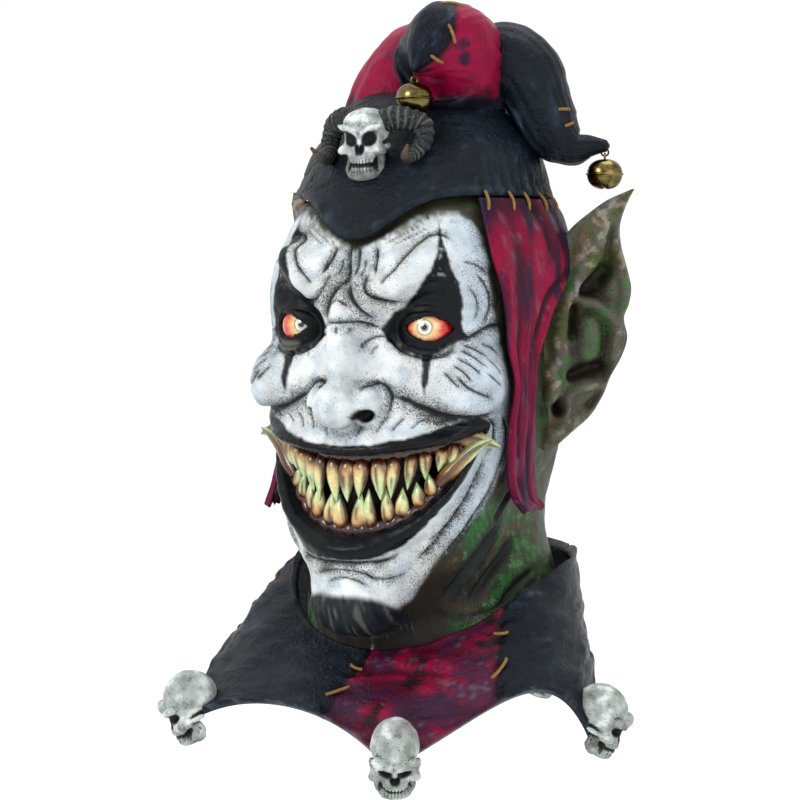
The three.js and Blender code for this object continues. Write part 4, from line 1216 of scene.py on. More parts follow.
def dry_brush_and_highlight(points, relief, grain=(1, 1, 1)):
    """Black latex with paler paint dragged over what stands up. The paler paint on raised parts is also a
    painted highlight.
    """
    scratch = rough_noise(points / np.array(grain), 5, 1)
    cloud = noise(points, 26, 3)
    coat = plain(relief.shape, "blue_black")
    coat = lay(coat, "steel", 0.25 * ramp(-0.2, 0.9, cloud + 0.3 * scratch))
    coat = lay(coat, "steel", 0.6 * ramp(0.1, 0.9, relief + 0.5 * scratch))
    return lay(coat, "frost", 0.45 * ramp(0.25, 0.7, scratch) * ramp(0.15, 0.8, relief + 0.4 * cloud))


def cap_crown():
    columns = np.linspace(-180, 180, CAP_COLUMNS, endpoint=False)
    share, angle = np.meshgrid(np.linspace(0, 1, CAP_ROWS) ** 1.2, columns, indexing="ij")
    rise = mix(rim_rise(angle), CAP_END_RISE, share)
    outer = cap_surface(angle, rise, CAP_TOP + crown_lift(angle, rise))
    down = share * CAP_ARC
    bead = CAP_BEAD * np.exp(-(((down - 2.2) / 1.8) ** 2))
    pucker_at = ramp(40, 60, turned(angle)) * ramp(125, 100, turned(angle)) * ramp(26, 2, down)
    pucker = pucker_at * np.sin(1.05 * angle + 1.5 * noise(outer, 14, 2))
    folds = np.abs(noise(outer * [1, 1, 2.2], 15, 1)) + 0.5 * np.abs(noise(outer * [1, 1, 2.5], 7, 2))
    relief = bead + 0.8 * pucker - 1.5 * np.maximum(0.35 - folds, 0) * 2
    normal = grid_normals(outer)
    normal *= np.sign((normal * (outer - CAP_CENTRE)).sum())
    outer = outer + normal * relief[..., None]
    inner_rise = mix(rim_rise(columns)[None], CAP_END_RISE, np.linspace(1, 0, CAP_INNER_ROWS)[:, None])
    inner = cap_surface(columns, inner_rise, CAP_LIFT + crown_lift(columns, inner_rise))
    coat = dry_brush_and_highlight(outer, 0.5 * pucker + 0.3 * bead + 0.5 * (folds - 0.3), (1, 1, 2))
    # Painted shade: ink in the troughs of the crown's folds.
    coat = lay(coat, "ink", 0.6 * ramp(0.3, 0.05, folds))
    inside = inner.shape[:2]
    coat = np.concatenate([plain(inside, "charcoal"), coat])
    grime_and_shade = np.concatenate([np.zeros(inside), 0.25 * ramp(0.2, 0.8, pucker) + 0.08 * bead])
    tube_piece("cap_crown", np.concatenate([inner, outer]), "cap", coat, grime_and_shade, 0.4)


# Points of the cap: x, y, z and radius from the root on the crown to the tip
CAP_POINTS = {
    "front": [
        (18, 22, -12, 34), (21, 17, 10, 32), (25, 10, 26, 35), (29, -7, 40.5, 37), (31, -24, 47.5, 32.5),
        (28, -40, 43, 19), (21.5, -47, 33, 4.3),
    ],
    "left": [
        (22, 14, -8, 26), (29, 14, 14, 27), (42, 15, 33, 27), (58, 17, 41, 27), (72, 20, 33, 24.5),
        (80, 24, 15, 21), (88, 29, -4, 19), (101, 33.5, -14.5, 12), (112, 37, -13.5, 7),
        (124, 41, -13.6, 3.4),
    ],
    "right": [
        (-32, 18, -16, 37), (-29, 24, 8, 36), (-22, 31, 29, 34), (-19, 47, 43, 32), (-28, 70, 35, 28),
        (-42, 88, 11, 22), (-54, 105, -20, 13), (-58, 117, -48, 5),
    ],
}
POINT_AROUND = 96
POINT_ALONG = 110
TIP_ROUND = 0.018  # share of a point that rounds off its tip
POINT_SUNK = 0.6  # how far under the cap's outside a point is kept
SEAM_ON_TOP = 116  # degrees around the front point, and how far the seam swings from there
SEAM_SWING = 71


def cap_field(points):
    """Signed distance to the cap's outside."""
    off = points - CAP_CENTRE
    angle = np.degrees(np.arctan2(off[..., 0], -off[..., 1]))
    rise = np.degrees(np.arctan2(off[..., 2], np.hypot(off[..., 0], off[..., 1])))
    return head_form(points) - CAP_TOP - crown_lift(angle, rise)


def above_cap(points):
    """Points that lie inside the cap are moved out to just under its outside."""
    inside = cap_field(points) < -POINT_SUNK
    return np.where(inside[..., None], settle(cap_field, points, -POINT_SUNK, 6), points)


def seam_turn(along):
    """Where the front point's seam runs around it: over its top, then down its side on the wearer's left."""
    return np.radians(SEAM_ON_TOP + SEAM_SWING * ramp(0.62, 0.87, along))


def cap_point(name):
    rings = sweep(CAP_POINTS[name], POINT_AROUND, POINT_ALONG)
    middle = rings.mean(1, keepdims=True)
    radius = np.linalg.norm(rings - middle, axis=-1)
    along, turn = shares_and_turns(POINT_ALONG, POINT_AROUND)
    lengthwise = noise(on_cylinder(turn, along, 2.2, 2.2), 0.8, 1)
    crosswise = noise(on_cylinder(turn, along, 1, 11), 0.9, 2)
    fine = noise(rings, 6, 3)
    ridges = 1 - 2 * np.abs(noise(on_cylinder(turn, along, 3.2, 1.6), 0.7, 3))
    relief = 0.045 * radius * lengthwise + 0.035 * radius * crosswise + 0.4 * fine + 0.03 * radius * ridges
    off_seam = turn - seam_turn(along)
    seam = np.abs(np.sin(off_seam)) * radius
    relief -= 0.9 * np.exp(-((seam / 1.6) ** 2)) * (name == "front")
    rings = rings + relief[..., None] * (rings - middle) / radius[..., None]
    rounded = np.sqrt(np.clip((1 - along) / TIP_ROUND, 0.05, 1))
    rings = above_cap(mix(middle, rings, rounded[..., None]))
    tone = lengthwise + 0.8 * crosswise + 0.3 * fine + 0.5 * ridges
    black = dry_brush_and_highlight(rings, 0.5 * tone, (1, 1, 3))
    red = plain(tone.shape, "crimson")
    # Painted shade: the crimson goes to wine and plum in the troughs of the folds.
    red = lay(red, "wine", 0.85 * ramp(0.0, -0.6, tone))
    red = lay(red, "plum", 0.7 * ramp(-0.25, -0.9, tone + 0.5 * fine))
    red = lay(red, "ink", 0.75 * ramp(0.35, 0.75, noise(rings * [1, 1, 0.6], 26, 2) + 0.3 * fine))
    if name == "left":
        coat = black
    elif name == "right":
        coat = mix(red, black, ramp(0.35, 0.55, noise(rings, 24, 3) + 0.2 * fine)[..., None])
    else:
        on_right = ramp(1.2, -1.2, np.sin(off_seam) * radius + 1.5 * fine)
        root = ramp(20, 15, rings[..., 2] + 2 * fine)
        coat = mix(red, black, np.maximum(on_right, root)[..., None])
        coat = lay(coat, "ink", 0.7 * np.exp(-((seam / 2.5) ** 2)))
    crimson = name != "left"
    # The speckle lies thicker in the troughs, as painted shade.
    grime_and_shade = (0.15 + 0.35 * ramp(0, 0.6, -tone)) * crimson
    gloss = 0.35 + 0.2 * ramp(0, 0.6, tone)
    tube_piece(f"cap_point_{name}", rings, "cloth" if crimson else "cap", coat, grime_and_shade, gloss)
    return rings


# Lappets: z, front and back angle, and lift off the skin, down the side of the head
LAPPET_ROWS = {
    "left": [
        (-48, 50, 104, 4), (-66, 50, 116, 4), (-86, 50.5, 118, 4.5), (-100, 52, 106, 5), (-114, 54, 94, 5),
        (-136, 56.5, 86, 5), (-160, 57.5, 77, 5), (-190, 57.5, 75, 5), (-220, 58, 75.5, 7),
        (-243, 61.5, 80, 10), (-257, 70, 86, 13),
    ],
    "right": [
        (-48, 80, 126, 4), (-66, 80, 130, 4), (-86, 80, 130, 4.5), (-100, 80, 121, 5), (-114, 80, 113, 5),
        (-136, 80, 107, 5), (-160, 79, 100, 5), (-190, 76, 95, 6), (-220, 71, 88, 9), (-243, 65, 81, 14),
        (-262, 61, 72, 20),
    ],
}
LAPPET_WALL = 4
LAPPET_WIDTH = 60  # roughly, for the thinning at its edges
LAPPET_NOTCH = 3.5  # depth of the notches in its end, and how many there are
LAPPET_NOTCHES = 2.5
LAPPET_GAP = 0.8  # between its top and the cap's rim
LAPPET_ALONG = 130
LAPPET_ACROSS = 44
# Folds: height, width in shares of the lappet's width, share across and row share
LAPPET_FOLDS = [
    (1.8, 0.07, [(0.05, 0.0), (0.05, 0.3), (0.07, 0.7), (0.1, 1.0)]),
    (-1.6, 0.06, [(0.2, 0.08), (0.2, 0.4), (0.25, 0.75), (0.3, 0.95)]),
    (-1.8, 0.05, [(0.45, 0.0), (0.5, 0.12), (0.52, 0.25)]),
    (-1.5, 0.05, [(0.72, 0.0), (0.7, 0.1), (0.66, 0.2)]),
    (-2.2, 0.06, [(0.62, 0.62), (0.66, 0.48), (0.76, 0.36), (0.9, 0.3)]),
    (2.2, 0.08, [(0.76, 0.72), (0.8, 0.54), (0.88, 0.42), (0.97, 0.35)]),
    (-1.8, 0.05, [(0.88, 0.62), (0.93, 0.5), (0.99, 0.42)]),
    (1.5, 0.09, [(0.4, 0.35), (0.42, 0.55), (0.5, 0.8)]),
    (-1.4, 0.06, [(0.55, 0.7), (0.58, 0.85), (0.55, 1.0)]),
]


def lappet(name, side):
    rows = smooth_path(LAPPET_ROWS[name], LAPPET_ALONG)
    share, row = np.meshgrid(np.linspace(0, 1, LAPPET_ACROSS), np.linspace(0, 1, LAPPET_ALONG))
    angle = side * mix(rows[:, 1:2], rows[:, 2:3], share)
    serrated = LAPPET_NOTCH * np.abs(np.sin(LAPPET_NOTCHES * np.pi * share)) * ramp(0.9, 1, row)
    rim = cap_surface(angle[0], rim_rise(angle[0]), 0)[:, 2] - LAPPET_GAP
    z = np.minimum(rows[:, :1] + serrated, rim)
    folds = strokes_at(LAPPET_FOLDS, share, row)
    edge = np.minimum(share, 1 - share) * LAPPET_WIDTH
    thick = LAPPET_WALL * (0.35 + 0.65 * ramp(0, 5, edge))
    out = heading(angle)
    base = march(head_form, on_axis(z), out, FAR, rows[:, 3:4])
    wrinkle = noise(base * [1, 1, 0.5], 8, 1)
    front = base + out * (thick + folds + 0.5 * wrinkle)[..., None]
    back = base + out * np.minimum(0.5 * folds, 0)[..., None]
    fine = rough_noise(front * [1, 1, 0.35], 4, 2)
    cloud = noise(front * [1, 1, 0.16], 9, 0) + 0.5 * noise(front * [1, 1, 0.4], 24, 1)
    coat = plain(share.shape, "crimson")
    coat = lay(coat, "wine", 0.8 * ramp(-0.3, 0.4, cloud))
    coat = lay(coat, "plum", 0.75 * ramp(0.0, 0.6, cloud + 0.5 * fine))
    coat = lay(coat, "plum", 0.5 * ramp(0.45, 0.85, row))
    # Painted shade: wine and blue-black in the troughs of the folds.
    coat = lay(coat, "wine", 0.7 * ramp(-0.1, -1.2, folds))
    coat = lay(coat, "blue_black", 0.8 * ramp(-0.8, -2.2, folds + 0.5 * fine))
    coat = lay(coat, "blue_black", 0.75 * ramp(0.16, 0.0, row + 0.06 * fine))
    coat = lay(coat, "frost", 0.3 * ramp(0.15, 0.55, fine) * ramp(-0.4, 0.3, -cloud))
    # A painted highlight: bright crimson on the crests of the folds.
    coat = lay(coat, "crimson", 0.7 * ramp(0.8, 2.0, folds))
    coat = folded(coat, plain(share.shape, "wine"))
    grime_and_shade = folded(0.15 + 0.35 * ramp(-0.2, 0.5, cloud), np.full(share.shape, 0.15))
    tube_piece(f"lappet_{name}", folded(front, back), "cloth", coat, grime_and_shade, 0.5)
    return front


# Ears: sections from the lobe to the tip, measured from a place beside the head
EAR_PLACE = np.array([90.0, 26.0, -148.0])
EAR_TURN = 40  # how far the ear swings back
# height, front edge, rim
EAR_SECTIONS = [
    (-71, -8, 0), (-60, -14, 13), (-48, -16, 27), (-34, -16, 36), (-22, -16, 41), (-8, -16, 49), (5, -16, 53),
    (18, -16, 50.5), (28, -16, 54), (39, -15, 55.5), (52, -10, 52.5), (68, 3, 48), (80, 13, 47), (89, 24, 49),
    (98.5, 38, 53), (106, 55.5, 57),
]
EAR_LOW = EAR_SECTIONS[0][0]
EAR_HIGH = EAR_SECTIONS[-1][0]
EAR_WALL = 5
EAR_FLOOR = -3  # depth where no form lies
EAR_SOFTENED = 5  # times
EAR_ALONG = 170
EAR_ACROSS = 80
# Forms laid on in turn: depth, half width, points of distance out and height
EAR_FORMS = [
    (-9, 15, [(27, 42), (27, 20), (27, 0), (28, -14)]),
    (-7, 4, [(41, 80), (39.5, 68), (39, 56)]),
    (4, 11, [(46, 99), (31, 83), (27, 69), (24, 57)]),
    (4, 6.5, [(24, 57), (18, 45), (11, 33), (7, 20), (4, 5), (5, -10)]),
    (-15, 6.5, [(37, 50), (31, 43), (25, 37)]),
    (3, 4.5, [(52, 97), (46.5, 84), (45, 70), (48, 55), (51, 40), (50, 28), (47, 19)]),
    (-1, 4.5, [(20, 30), (30, 28), (40, 21), (48, 14)]),
    (-13, 4, [(15.5, 25), (14.5, 17), (14.5, 8)]),
    (-2, 8.5, [(27, 12), (27, 0), (26, -5)]),
    (2, 6, [(47, 9), (46, 0), (42, -10)]),
    (-9, 2.4, [(38.7, 13), (38.5, 2), (37, -7)]),
    (-14, 4.2, [(36, -14), (26, -17), (15, -21)]),
    (2, 4.2, [(32, -27), (20, -29), (11, -35), (9.5, -44)]),
    (-15, 3.4, [(2, -38), (5, -45)]),
    (6, 6.5, [(-3, -18), (0, -26), (-2, -34)]),
    (-7, 3.6, [(39, -31), (29, -40), (19, -47)]),
    (2, 8, [(22, -51), (12, -56), (2, -63)]),
    (2, 3.6, [(48, -11), (41, -25), (34, -39), (23, -53)]),
]


def ear_depth(out, height):
    """How far the ear's front stands forward of its rim, with the forms' steps softened."""
    depth = np.full(out.shape, float(EAR_FLOOR))
    for level, half_width, points in EAR_FORMS:
        line = smooth_path(points, STROKE_POINTS)
        square = (out[..., None] - line[:, 0]) ** 2 + (height[..., None] - line[:, 1]) ** 2
        off = np.sqrt(square.min(-1)) / half_width
        depth = mix(depth, level - 1.5 * np.minimum(off, 1) ** 2 * np.sign(level + 4), np.exp(-(off**5)))
    for _ in range(EAR_SOFTENED):
        depth[1:-1, 1:-1] = 0.5 * depth[1:-1, 1:-1] + 0.125 * (
            depth[:-2, 1:-1] + depth[2:, 1:-1] + depth[1:-1, :-2] + depth[1:-1, 2:]
        )
    return depth


def ear(name, side):
    turn = math.radians(EAR_TURN)
    width = np.array([math.cos(turn), math.sin(turn), 0])
    ahead = np.array([math.sin(turn), -math.cos(turn), 0])
    rows = smooth_path(EAR_SECTIONS, EAR_ALONG)
    share, _ = np.meshgrid(np.linspace(0, 1, EAR_ACROSS), rows[:, 0])
    out = mix(rows[:, 1:2], rows[:, 2:3], share)
    height = np.broadcast_to(rows[:, :1], out.shape)
    span = rows[:, 2:3] - rows[:, 1:2]
    edge = np.minimum(share, 1 - share) * span
    fade = ramp(0, 4, edge) * ramp(0, 8, height - EAR_LOW) * ramp(EAR_HIGH, EAR_HIGH - 10, height)
    depth = ear_depth(out, height)
    at = EAR_PLACE + out[..., None] * width + height[..., None] * UP
    lump = 0.5 * noise(at, 8, 1) + 0.3 * noise(at, 4, 2)
    round_edge = EAR_WALL / 2 * np.sqrt(np.clip(edge / 3.5, 0.02, 1))
    front = at + ahead * (round_edge + fade * (depth + lump))[..., None]
    back = at + ahead * (-round_edge + fade * (np.minimum(depth, -2) - 2))[..., None]
    rings = folded(front, back) * [side, 1, 1]
    fine = rough_noise(at, 5, 2)
    cloud = rough_noise(at, 17, 1)
    coat = mix(plain(share.shape, "olive"), PAINT["grey"], 0.4)
    coat = lay(coat, "brown", 0.7 * ramp(-0.1, 0.4, cloud))
    # Painted shade: umber and ink in the ear's hollows, darkest in the deepest.
    coat = lay(coat, "umber", 0.75 * ramp(-2.5, -9, depth + 2 * fine))
    coat = lay(coat, "ink", 0.7 * ramp(-8.5, -13, depth))
    coat = lay(coat, "umber", 0.6 * ramp(3.5, 0, edge) * ramp(-0.2, 0.4, fine))
    coat = lay(coat, "moss", 0.6 * ramp(0.0, 0.5, 0.6 * fine + 0.8 * cloud))
    coat = lay(coat, "green", 0.5 * ramp(0.25, 0.6, 0.6 * fine - 0.8 * cloud))
    # A painted highlight: pale grey on the raised parts.
    coat = lay(coat, "pale_grey", 0.45 * ramp(-2, 4, depth) * ramp(0.0, 0.5, -fine))
    behind = lay(plain(share.shape, "olive"), "umber", 0.6 * ramp(-0.2, 0.4, cloud))
    # The speckle lies thicker in the hollows, as painted shade.
    grime_and_shade = 0.15 + 0.3 * ramp(-3, -9, depth)
    tube_piece(f"ear_{name}", rings, "ear", folded(coat, behind), folded(grime_and_shade, grime_and_shade), 0.45)


# Collar: it flares from the neck to a hem cut into points, in panels of black and crimson
POINT_ANGLES = [-44, 27, 98, 160, 204, 246]
HEM_CENTRE_Y = -34
HEM_R = 137
HEM_Z = -388
HEM_TILT = 6  # how far the hem sinks on the wearer's left
FLARE_CURVE = 0.97
DROP_CURVE = 1.15
COLLAR_CLEAR = 5
COLLAR_HALF_WALL = 1.5
ARC_REACH = 0.68
POINT_REACH = 1.1
COLLAR_COLUMNS = 360
COLLAR_ROWS = 40
CRIMSON_PANELS = [(2, 54), (130, 182), (225, 281)]
PANEL_EDGES = [edge for panel in CRIMSON_PANELS for edge in panel]
COLLAR_MM_PER_DEGREE = 2.2


def angle_at_turn(turn):
    """An angle from points passed: 0 at the first point, 1 at the next, and so on around."""
    ends = POINT_ANGLES + [POINT_ANGLES[0] + 360]
    return np.interp(turn, range(len(ends)), ends)


def hem_share(turn):
    return mix(ARC_REACH, POINT_REACH, np.abs(2 * (turn % 1) - 1) ** 2)


def collar_point(angle, share, grow=0.0):
    turn = np.radians(angle)
    flare = share**FLARE_CURVE
    across = mix(NECK_WIDTH_R + COLLAR_CLEAR, HEM_R, flare) + grow
    depth = mix(NECK_DEPTH_R + COLLAR_CLEAR, HEM_R, flare) + grow
    hem_z = HEM_Z - HEM_TILT * np.sin(turn)
    return np.stack([
        across * np.sin(turn),
        mix(NECK_CENTRE_Y, HEM_CENTRE_Y, flare) - depth * np.cos(turn),
        mix(neckline_z(angle), hem_z, share**DROP_CURVE) + grow,
    ], -1)


def collar():
    turn = len(POINT_ANGLES) * np.arange(COLLAR_COLUMNS) / COLLAR_COLUMNS
    row, passed = np.meshgrid(np.linspace(0, 1, COLLAR_ROWS), turn, indexing="ij")
    angle = angle_at_turn(passed)
    share = row * hem_share(passed)
    flat = collar_point(angle, share)
    seam = np.min([turned(angle - edge) for edge in PANEL_EDGES], 0) * COLLAR_MM_PER_DEGREE
    pucker = np.exp(-((seam / 7) ** 2)) * np.sin(9 * np.pi * row + 2 * noise(flat, 9, 1))
    creases = noise(flat * [0.5, 0.5, 2.4], 13, 2) + 0.5 * noise(flat * [0.6, 0.6, 2.0], 6, 1)
    rolled = 1.6 * np.exp(-((row / 0.035) ** 2)) + 1.0 * np.exp(-(((1 - row) / 0.03) ** 2))
    relief = rolled + 0.9 * pucker + 1.1 * creases - 1.4 * np.exp(-((seam / 1.5) ** 2))
    hang = 2.2 * noise(flat, 34, 3) * row * (1 - row) * 4
    front = collar_point(angle, share, COLLAR_HALF_WALL + relief + hang)
    back = collar_point(angle, share, -COLLAR_HALF_WALL + np.minimum(0.6 * relief, 0) + hang)
    fine = rough_noise(flat, 4, 1)
    cloud = rough_noise(flat * [1, 1, 1.6], 20, 0)
    black = dry_brush_and_highlight(flat * [0.7, 0.7, 1.6], 0.5 * creases)
    red = plain(angle.shape, "crimson")
    # Painted shade: wine in the troughs of the creases.
    red = lay(red, "wine", 0.85 * ramp(0.4, -0.5, creases))
    red = lay(red, "plum", 0.8 * ramp(-0.2, 0.35, cloud + 0.4 * fine))
    red = lay(red, "ink", 0.85 * ramp(0.2, 0.6, -cloud + 0.3 * fine))
    red = lay(red, "frost", 0.28 * ramp(0.3, 0.7, fine + 0.3 * creases))
    wrapped = (angle - PANEL_EDGES[0] + 0.4 * fine) % 360 + PANEL_EDGES[0]
    crimson = sum(
        ramp(low - 0.5, low + 0.5, wrapped) * ramp(high + 0.5, high - 0.5, wrapped)
        for low, high in CRIMSON_PANELS
    )
    coat = mix(black, red, crimson[..., None])
    near_neck = 0.3 * ramp(0.12, 0.0, row) * ramp(-0.2, 0.4, cloud)
    coat = lay(coat, "ink", 0.75 * np.exp(-((seam / 3) ** 2)) + near_neck)
    coat = lay(coat, "frost", 0.4 * ramp(0.97, 1.0, row) * ramp(0, 0.5, fine))
    lining = plain(angle.shape, "charcoal")
    grime_and_shade = np.concatenate([0.12 * ramp(0.2, 0.8, creases), np.zeros(angle.shape)])
    rings = np.concatenate([front, back[::-1]])
    coat = np.concatenate([coat, lining]).reshape(-1, 3)
    make_piece("collar", torus(rings), "cap", coat, grime_and_shade.ravel(), 0.45)


# Skulls: 46 mm tall about their own middle, looking along -Y
SKULL_FORMS = [
    ("cranium", 0, 2, 7.5, 15.2, 18.2, 15.5, 0, 1),
    ("upper_face", 0, -8, -2, 12, 9, 9, 0, 4),
    ("brow", 7, -15, 6.6, 8.4, 5, 2.8, 24, 1.8),
    ("cheekbone", 11.8, -10.5, -5, 4.6, 5, 3.1, -10, 2.5),
    ("cheek_arch", 14.6, -3, -3.8, 2.4, 8, 2.2, 0, 2),
    ("upper_jaw", 0, -10.8, -8.4, 8.4, 7.5, 5, 0, 3),
    ("upper_teeth", 0, -12.4, -11.2, 7.8, 6.2, 3.2, 0, 1.2),
    ("lower_jaw", 0, -9.3, -19.2, 10.6, 7.8, 4, 0, 2),
    ("jaw_side", 10.6, -4, -13.6, 2.5, 6, 8, 0, 2),
    ("lower_teeth", 0, -12, -15.6, 7.4, 6, 2.6, 0, 1),
]
SKULL_HOLLOWS = [
    ("eye_socket", 7.4, -18.6, 1.4, 5.8, 7.8, 3.7, 24, 1.2),
    ("nose", 1.4, -20.6, -4.4, 1.7, 5.8, 3.2, -16, 0.8),
    ("temple", 17.2, -6.5, 1.2, 4, 9, 6.6, 0, 2.5),
    ("cheek", 12.2, -10, -11.4, 3.3, 7.8, 3.6, 0, 1.5),
    ("mouth", 0, -18, -13.3, 9, 4.6, 0.5, 0, 0.3),
]
SKULL_END_Z = 24
SKULL_JAW_Z = -14
SKULL_BROW_Z = 7
COLLAR_BROW_Z = 4.5
BROOCH_BROW_Z = 11
JAW_FOLLOWS = 0.3  # share of the brow's move that the jaw makes
SKULL_TOOTH = 2.1  # width of a skull's tooth
SKULL_MIDDLE = np.array([0, -2, -3.0])
CAVITY_REACH = 2.2


def skull_field(points):
    return forms_field(SKULL_FORMS, SKULL_HOLLOWS, points)


def skull(grid, seed, brow_z):
    """Rings, paint, and grime and painted shade of a skull in its own axes, its brow moved to a height."""
    rows, columns = grid
    rise = np.radians(np.linspace(-86, 86, rows))
    turn = np.linspace(-np.pi, np.pi, columns, endpoint=False)
    turn = turn - 0.5 * np.sin(turn)
    climb, around = np.meshgrid(rise, turn, indexing="ij")
    ray = np.stack([np.sin(around) * np.cos(climb), -np.cos(around) * np.cos(climb), np.sin(climb)], -1)
    rings = relaxed(march(skull_field, SKULL_MIDDLE, ray, 40), skull_field, 5)
    normal = unit(slope_of(skull_field, rings)[1])
    cavity = np.clip(1 - skull_field(rings + CAVITY_REACH * normal) / CAVITY_REACH, 0, 1)
    x, y, z = rings[..., 0], rings[..., 1], rings[..., 2]
    jaw = ramp(-9.5, -11, z) * ramp(-19, -18, z) * ramp(-8, -11, y) * ramp(8, 7, np.abs(x))
    gaps = np.exp(-(((x / SKULL_TOOTH + 0.5) % 1 - 0.5) / 0.16) ** 2) * jaw
    relief = 0.35 * noise(rings + 5 * seed, 4, 2) - 0.5 * gaps
    spot = rough_noise(rings + 13 * seed, 7, 3)
    coat = plain(x.shape, "bone")
    coat = lay(coat, "bone_light", 0.9 * ramp(-0.1, 0.5, spot))
    coat = lay(coat, "grey", 0.7 * ramp(0.1, 0.6, -spot))
    # Painted shade in the skull's hollows and in the gaps between its teeth.
    coat = lay(coat, "wash_and_shade", np.clip(1.5 * ramp(0.25, 0.8, cavity), 0, 0.95))
    coat = lay(coat, "wash_and_shade", 0.8 * gaps)
    coat = lay(coat, "wash_and_shade", 0.35 * ramp(0, -12, z + 3 * spot) * ramp(2, -6, y) * (1 - jaw))
    for hollow in SKULL_HOLLOWS[:2]:
        coat = lay(coat, "ink", 0.95 * ramp(1.3, 0.1, ellipsoid(hollow, np.abs(x), y, z)))
    coat = lay(coat, "moss", 0.3 * jaw * ramp(0.1, 0.5, spot))
    rings = rings + normal * relief[..., None]
    jaw_z = SKULL_JAW_Z + JAW_FOLLOWS * (brow_z - SKULL_BROW_Z)
    before = (-SKULL_END_Z, SKULL_JAW_Z, SKULL_BROW_Z, SKULL_END_Z)
    rings[..., 2] = np.interp(rings[..., 2], before, (-SKULL_END_Z, jaw_z, brow_z, SKULL_END_Z))
    # The speckle lies thicker in the hollows, as painted shade.
    return rings, coat, 0.08 + 0.45 * cavity + 0.2 * np.clip(-spot, 0, 1)


def placed(rings, lean, turn, at):
    """Rings in a piece's own axes, tipped about X, turned about Z and moved."""
    a, b = math.radians(lean), math.radians(turn)
    tip = np.array([[1, 0, 0], [0, math.cos(a), -math.sin(a)], [0, math.sin(a), math.cos(a)]])
    swing = np.array([[math.cos(b), -math.sin(b), 0], [math.sin(b), math.cos(b), 0], [0, 0, 1]])
    return rings @ (swing @ tip).T + at


COLLAR_SKULL_GRID = (72, 96)
BROOCH_GRID = (110, 140)
BROOCH_SEED = 8
COLLAR_SKULL_SHARE = 0.97
COLLAR_SKULL_PROUD = 7
COLLAR_SKULL_LEAN = 24
BROOCH_AT = np.array([-3.0, -68.0, -14.0])
BROOCH_LEAN = 8
BROOCH_TURN = 12
HORN_TURN = -4
# x, y, z and radius of the left horn from its root to its tip
HORN = [
    (8, 4, 13, 7.5), (17, 7.6, 15.8, 7.7), (27, 11.9, 13.8, 7.4), (34.5, 15.5, 9, 6.8), (36, 12, 0, 6),
    (33, 5, -7, 5), (31.5, -2, -9, 3.8), (33, -7, -6.5, 2.6), (37, -10, -0.5, 0.9),
]
HORN_RINGS = 19
HORN_AROUND = 40
HORN_ALONG = 240


def collar_skulls():
    for k, angle in enumerate(POINT_ANGLES):
        rings, coat, grime_and_shade = skull(COLLAR_SKULL_GRID, k, COLLAR_BROW_Z)
        at = collar_point(angle, COLLAR_SKULL_SHARE) + COLLAR_SKULL_PROUD * heading(np.array(float(angle)))
        rings = placed(rings, COLLAR_SKULL_LEAN, angle, at)
        tube_piece(f"collar_skull_{k + 1}", rings, "bone", coat, grime_and_shade, 0.3)


def brooch():
    rings, coat, grime_and_shade = skull(BROOCH_GRID, BROOCH_SEED, BROOCH_BROW_Z)
    tube_piece("brooch_skull", placed(rings, BROOCH_LEAN, BROOCH_TURN, BROOCH_AT), "bone", coat, grime_and_shade, 0.3)
    for name, side in SIDES.items():
        rings = sweep(np.array(HORN, float) * [side, 1, 1, 1], HORN_AROUND, HORN_ALONG)
        middle = rings.mean(1, keepdims=True)
        share, _ = shares_and_turns(HORN_ALONG, HORN_AROUND)
        wave = np.sin(2 * np.pi * HORN_RINGS * share + 1.2 * noise(rings, 5, 1))
        relief = (0.045 * wave + 0.06 * noise(rings, 7, 3)) * ramp(0.95, 0.6, share)
        relief = relief + 0.04 * noise(rings, 3, 2)
        rings = rings + relief[..., None] * (rings - middle)
        coat = plain(share.shape, "horn")
        coat = lay(coat, "grey", 0.5 * ramp(0.3, 1, wave) * ramp(-0.4, 0.4, noise(rings, 6, 2)))
        # Painted shade: ink in the grooves between the rings.
        coat = lay(coat, "ink", 0.6 * ramp(-0.2, -1, wave))
        coat = lay(coat, "horn_tip", 0.7 * ramp(0.72, 0.95, share))
        rings = placed(rings, BROOCH_LEAN, HORN_TURN, BROOCH_AT)
        tube_piece(f"brooch_horn_{name}", rings, "horn", coat, 0.15, 0.3)


# Bells on loops of thread at the tips of the points
BELL_R = 12
BELL_HALF_HEIGHT = 10.2
BELL_RIDGE = 1.1
BELL_ROWS = 90
BELL_AROUND = 96
SLOT_HALF_LENGTH = 0.62 * BELL_R
SLOT_DEPTH = 0.14  # share of the radius
BELL_DROP = 14.55  # from the middle of a loop down to the middle of its bell
LOOP_R = 2.4
LOOP_WIRE = 0.6
BELL_EYE_R = 2
BELL_EYE_WIRE = 0.7
BELL_EYE_SUNK = 0.4
HOOP_AROUND = 40
WIRE_AROUND = 10
# name: middle of the loop, turn about Z
BELL_LOOPS = {
    "front": ((21.5, -47.4, 30.4), -60),
    "left": ((121, 39.8, -17.9), 22),
    "right": ((-58, 117, -49), 100),
}


def hoop(radius, wire, turn, at):
    """An upright ring of wire, turned about Z."""
    big, small = np.meshgrid(turns(HOOP_AROUND), turns(WIRE_AROUND), indexing="ij")
    out = radius + wire * np.cos(small)
    rings = np.stack([out * np.cos(big), wire * np.sin(small), out * np.sin(big)], -1)
    return torus(placed(rings, 0, turn, at))


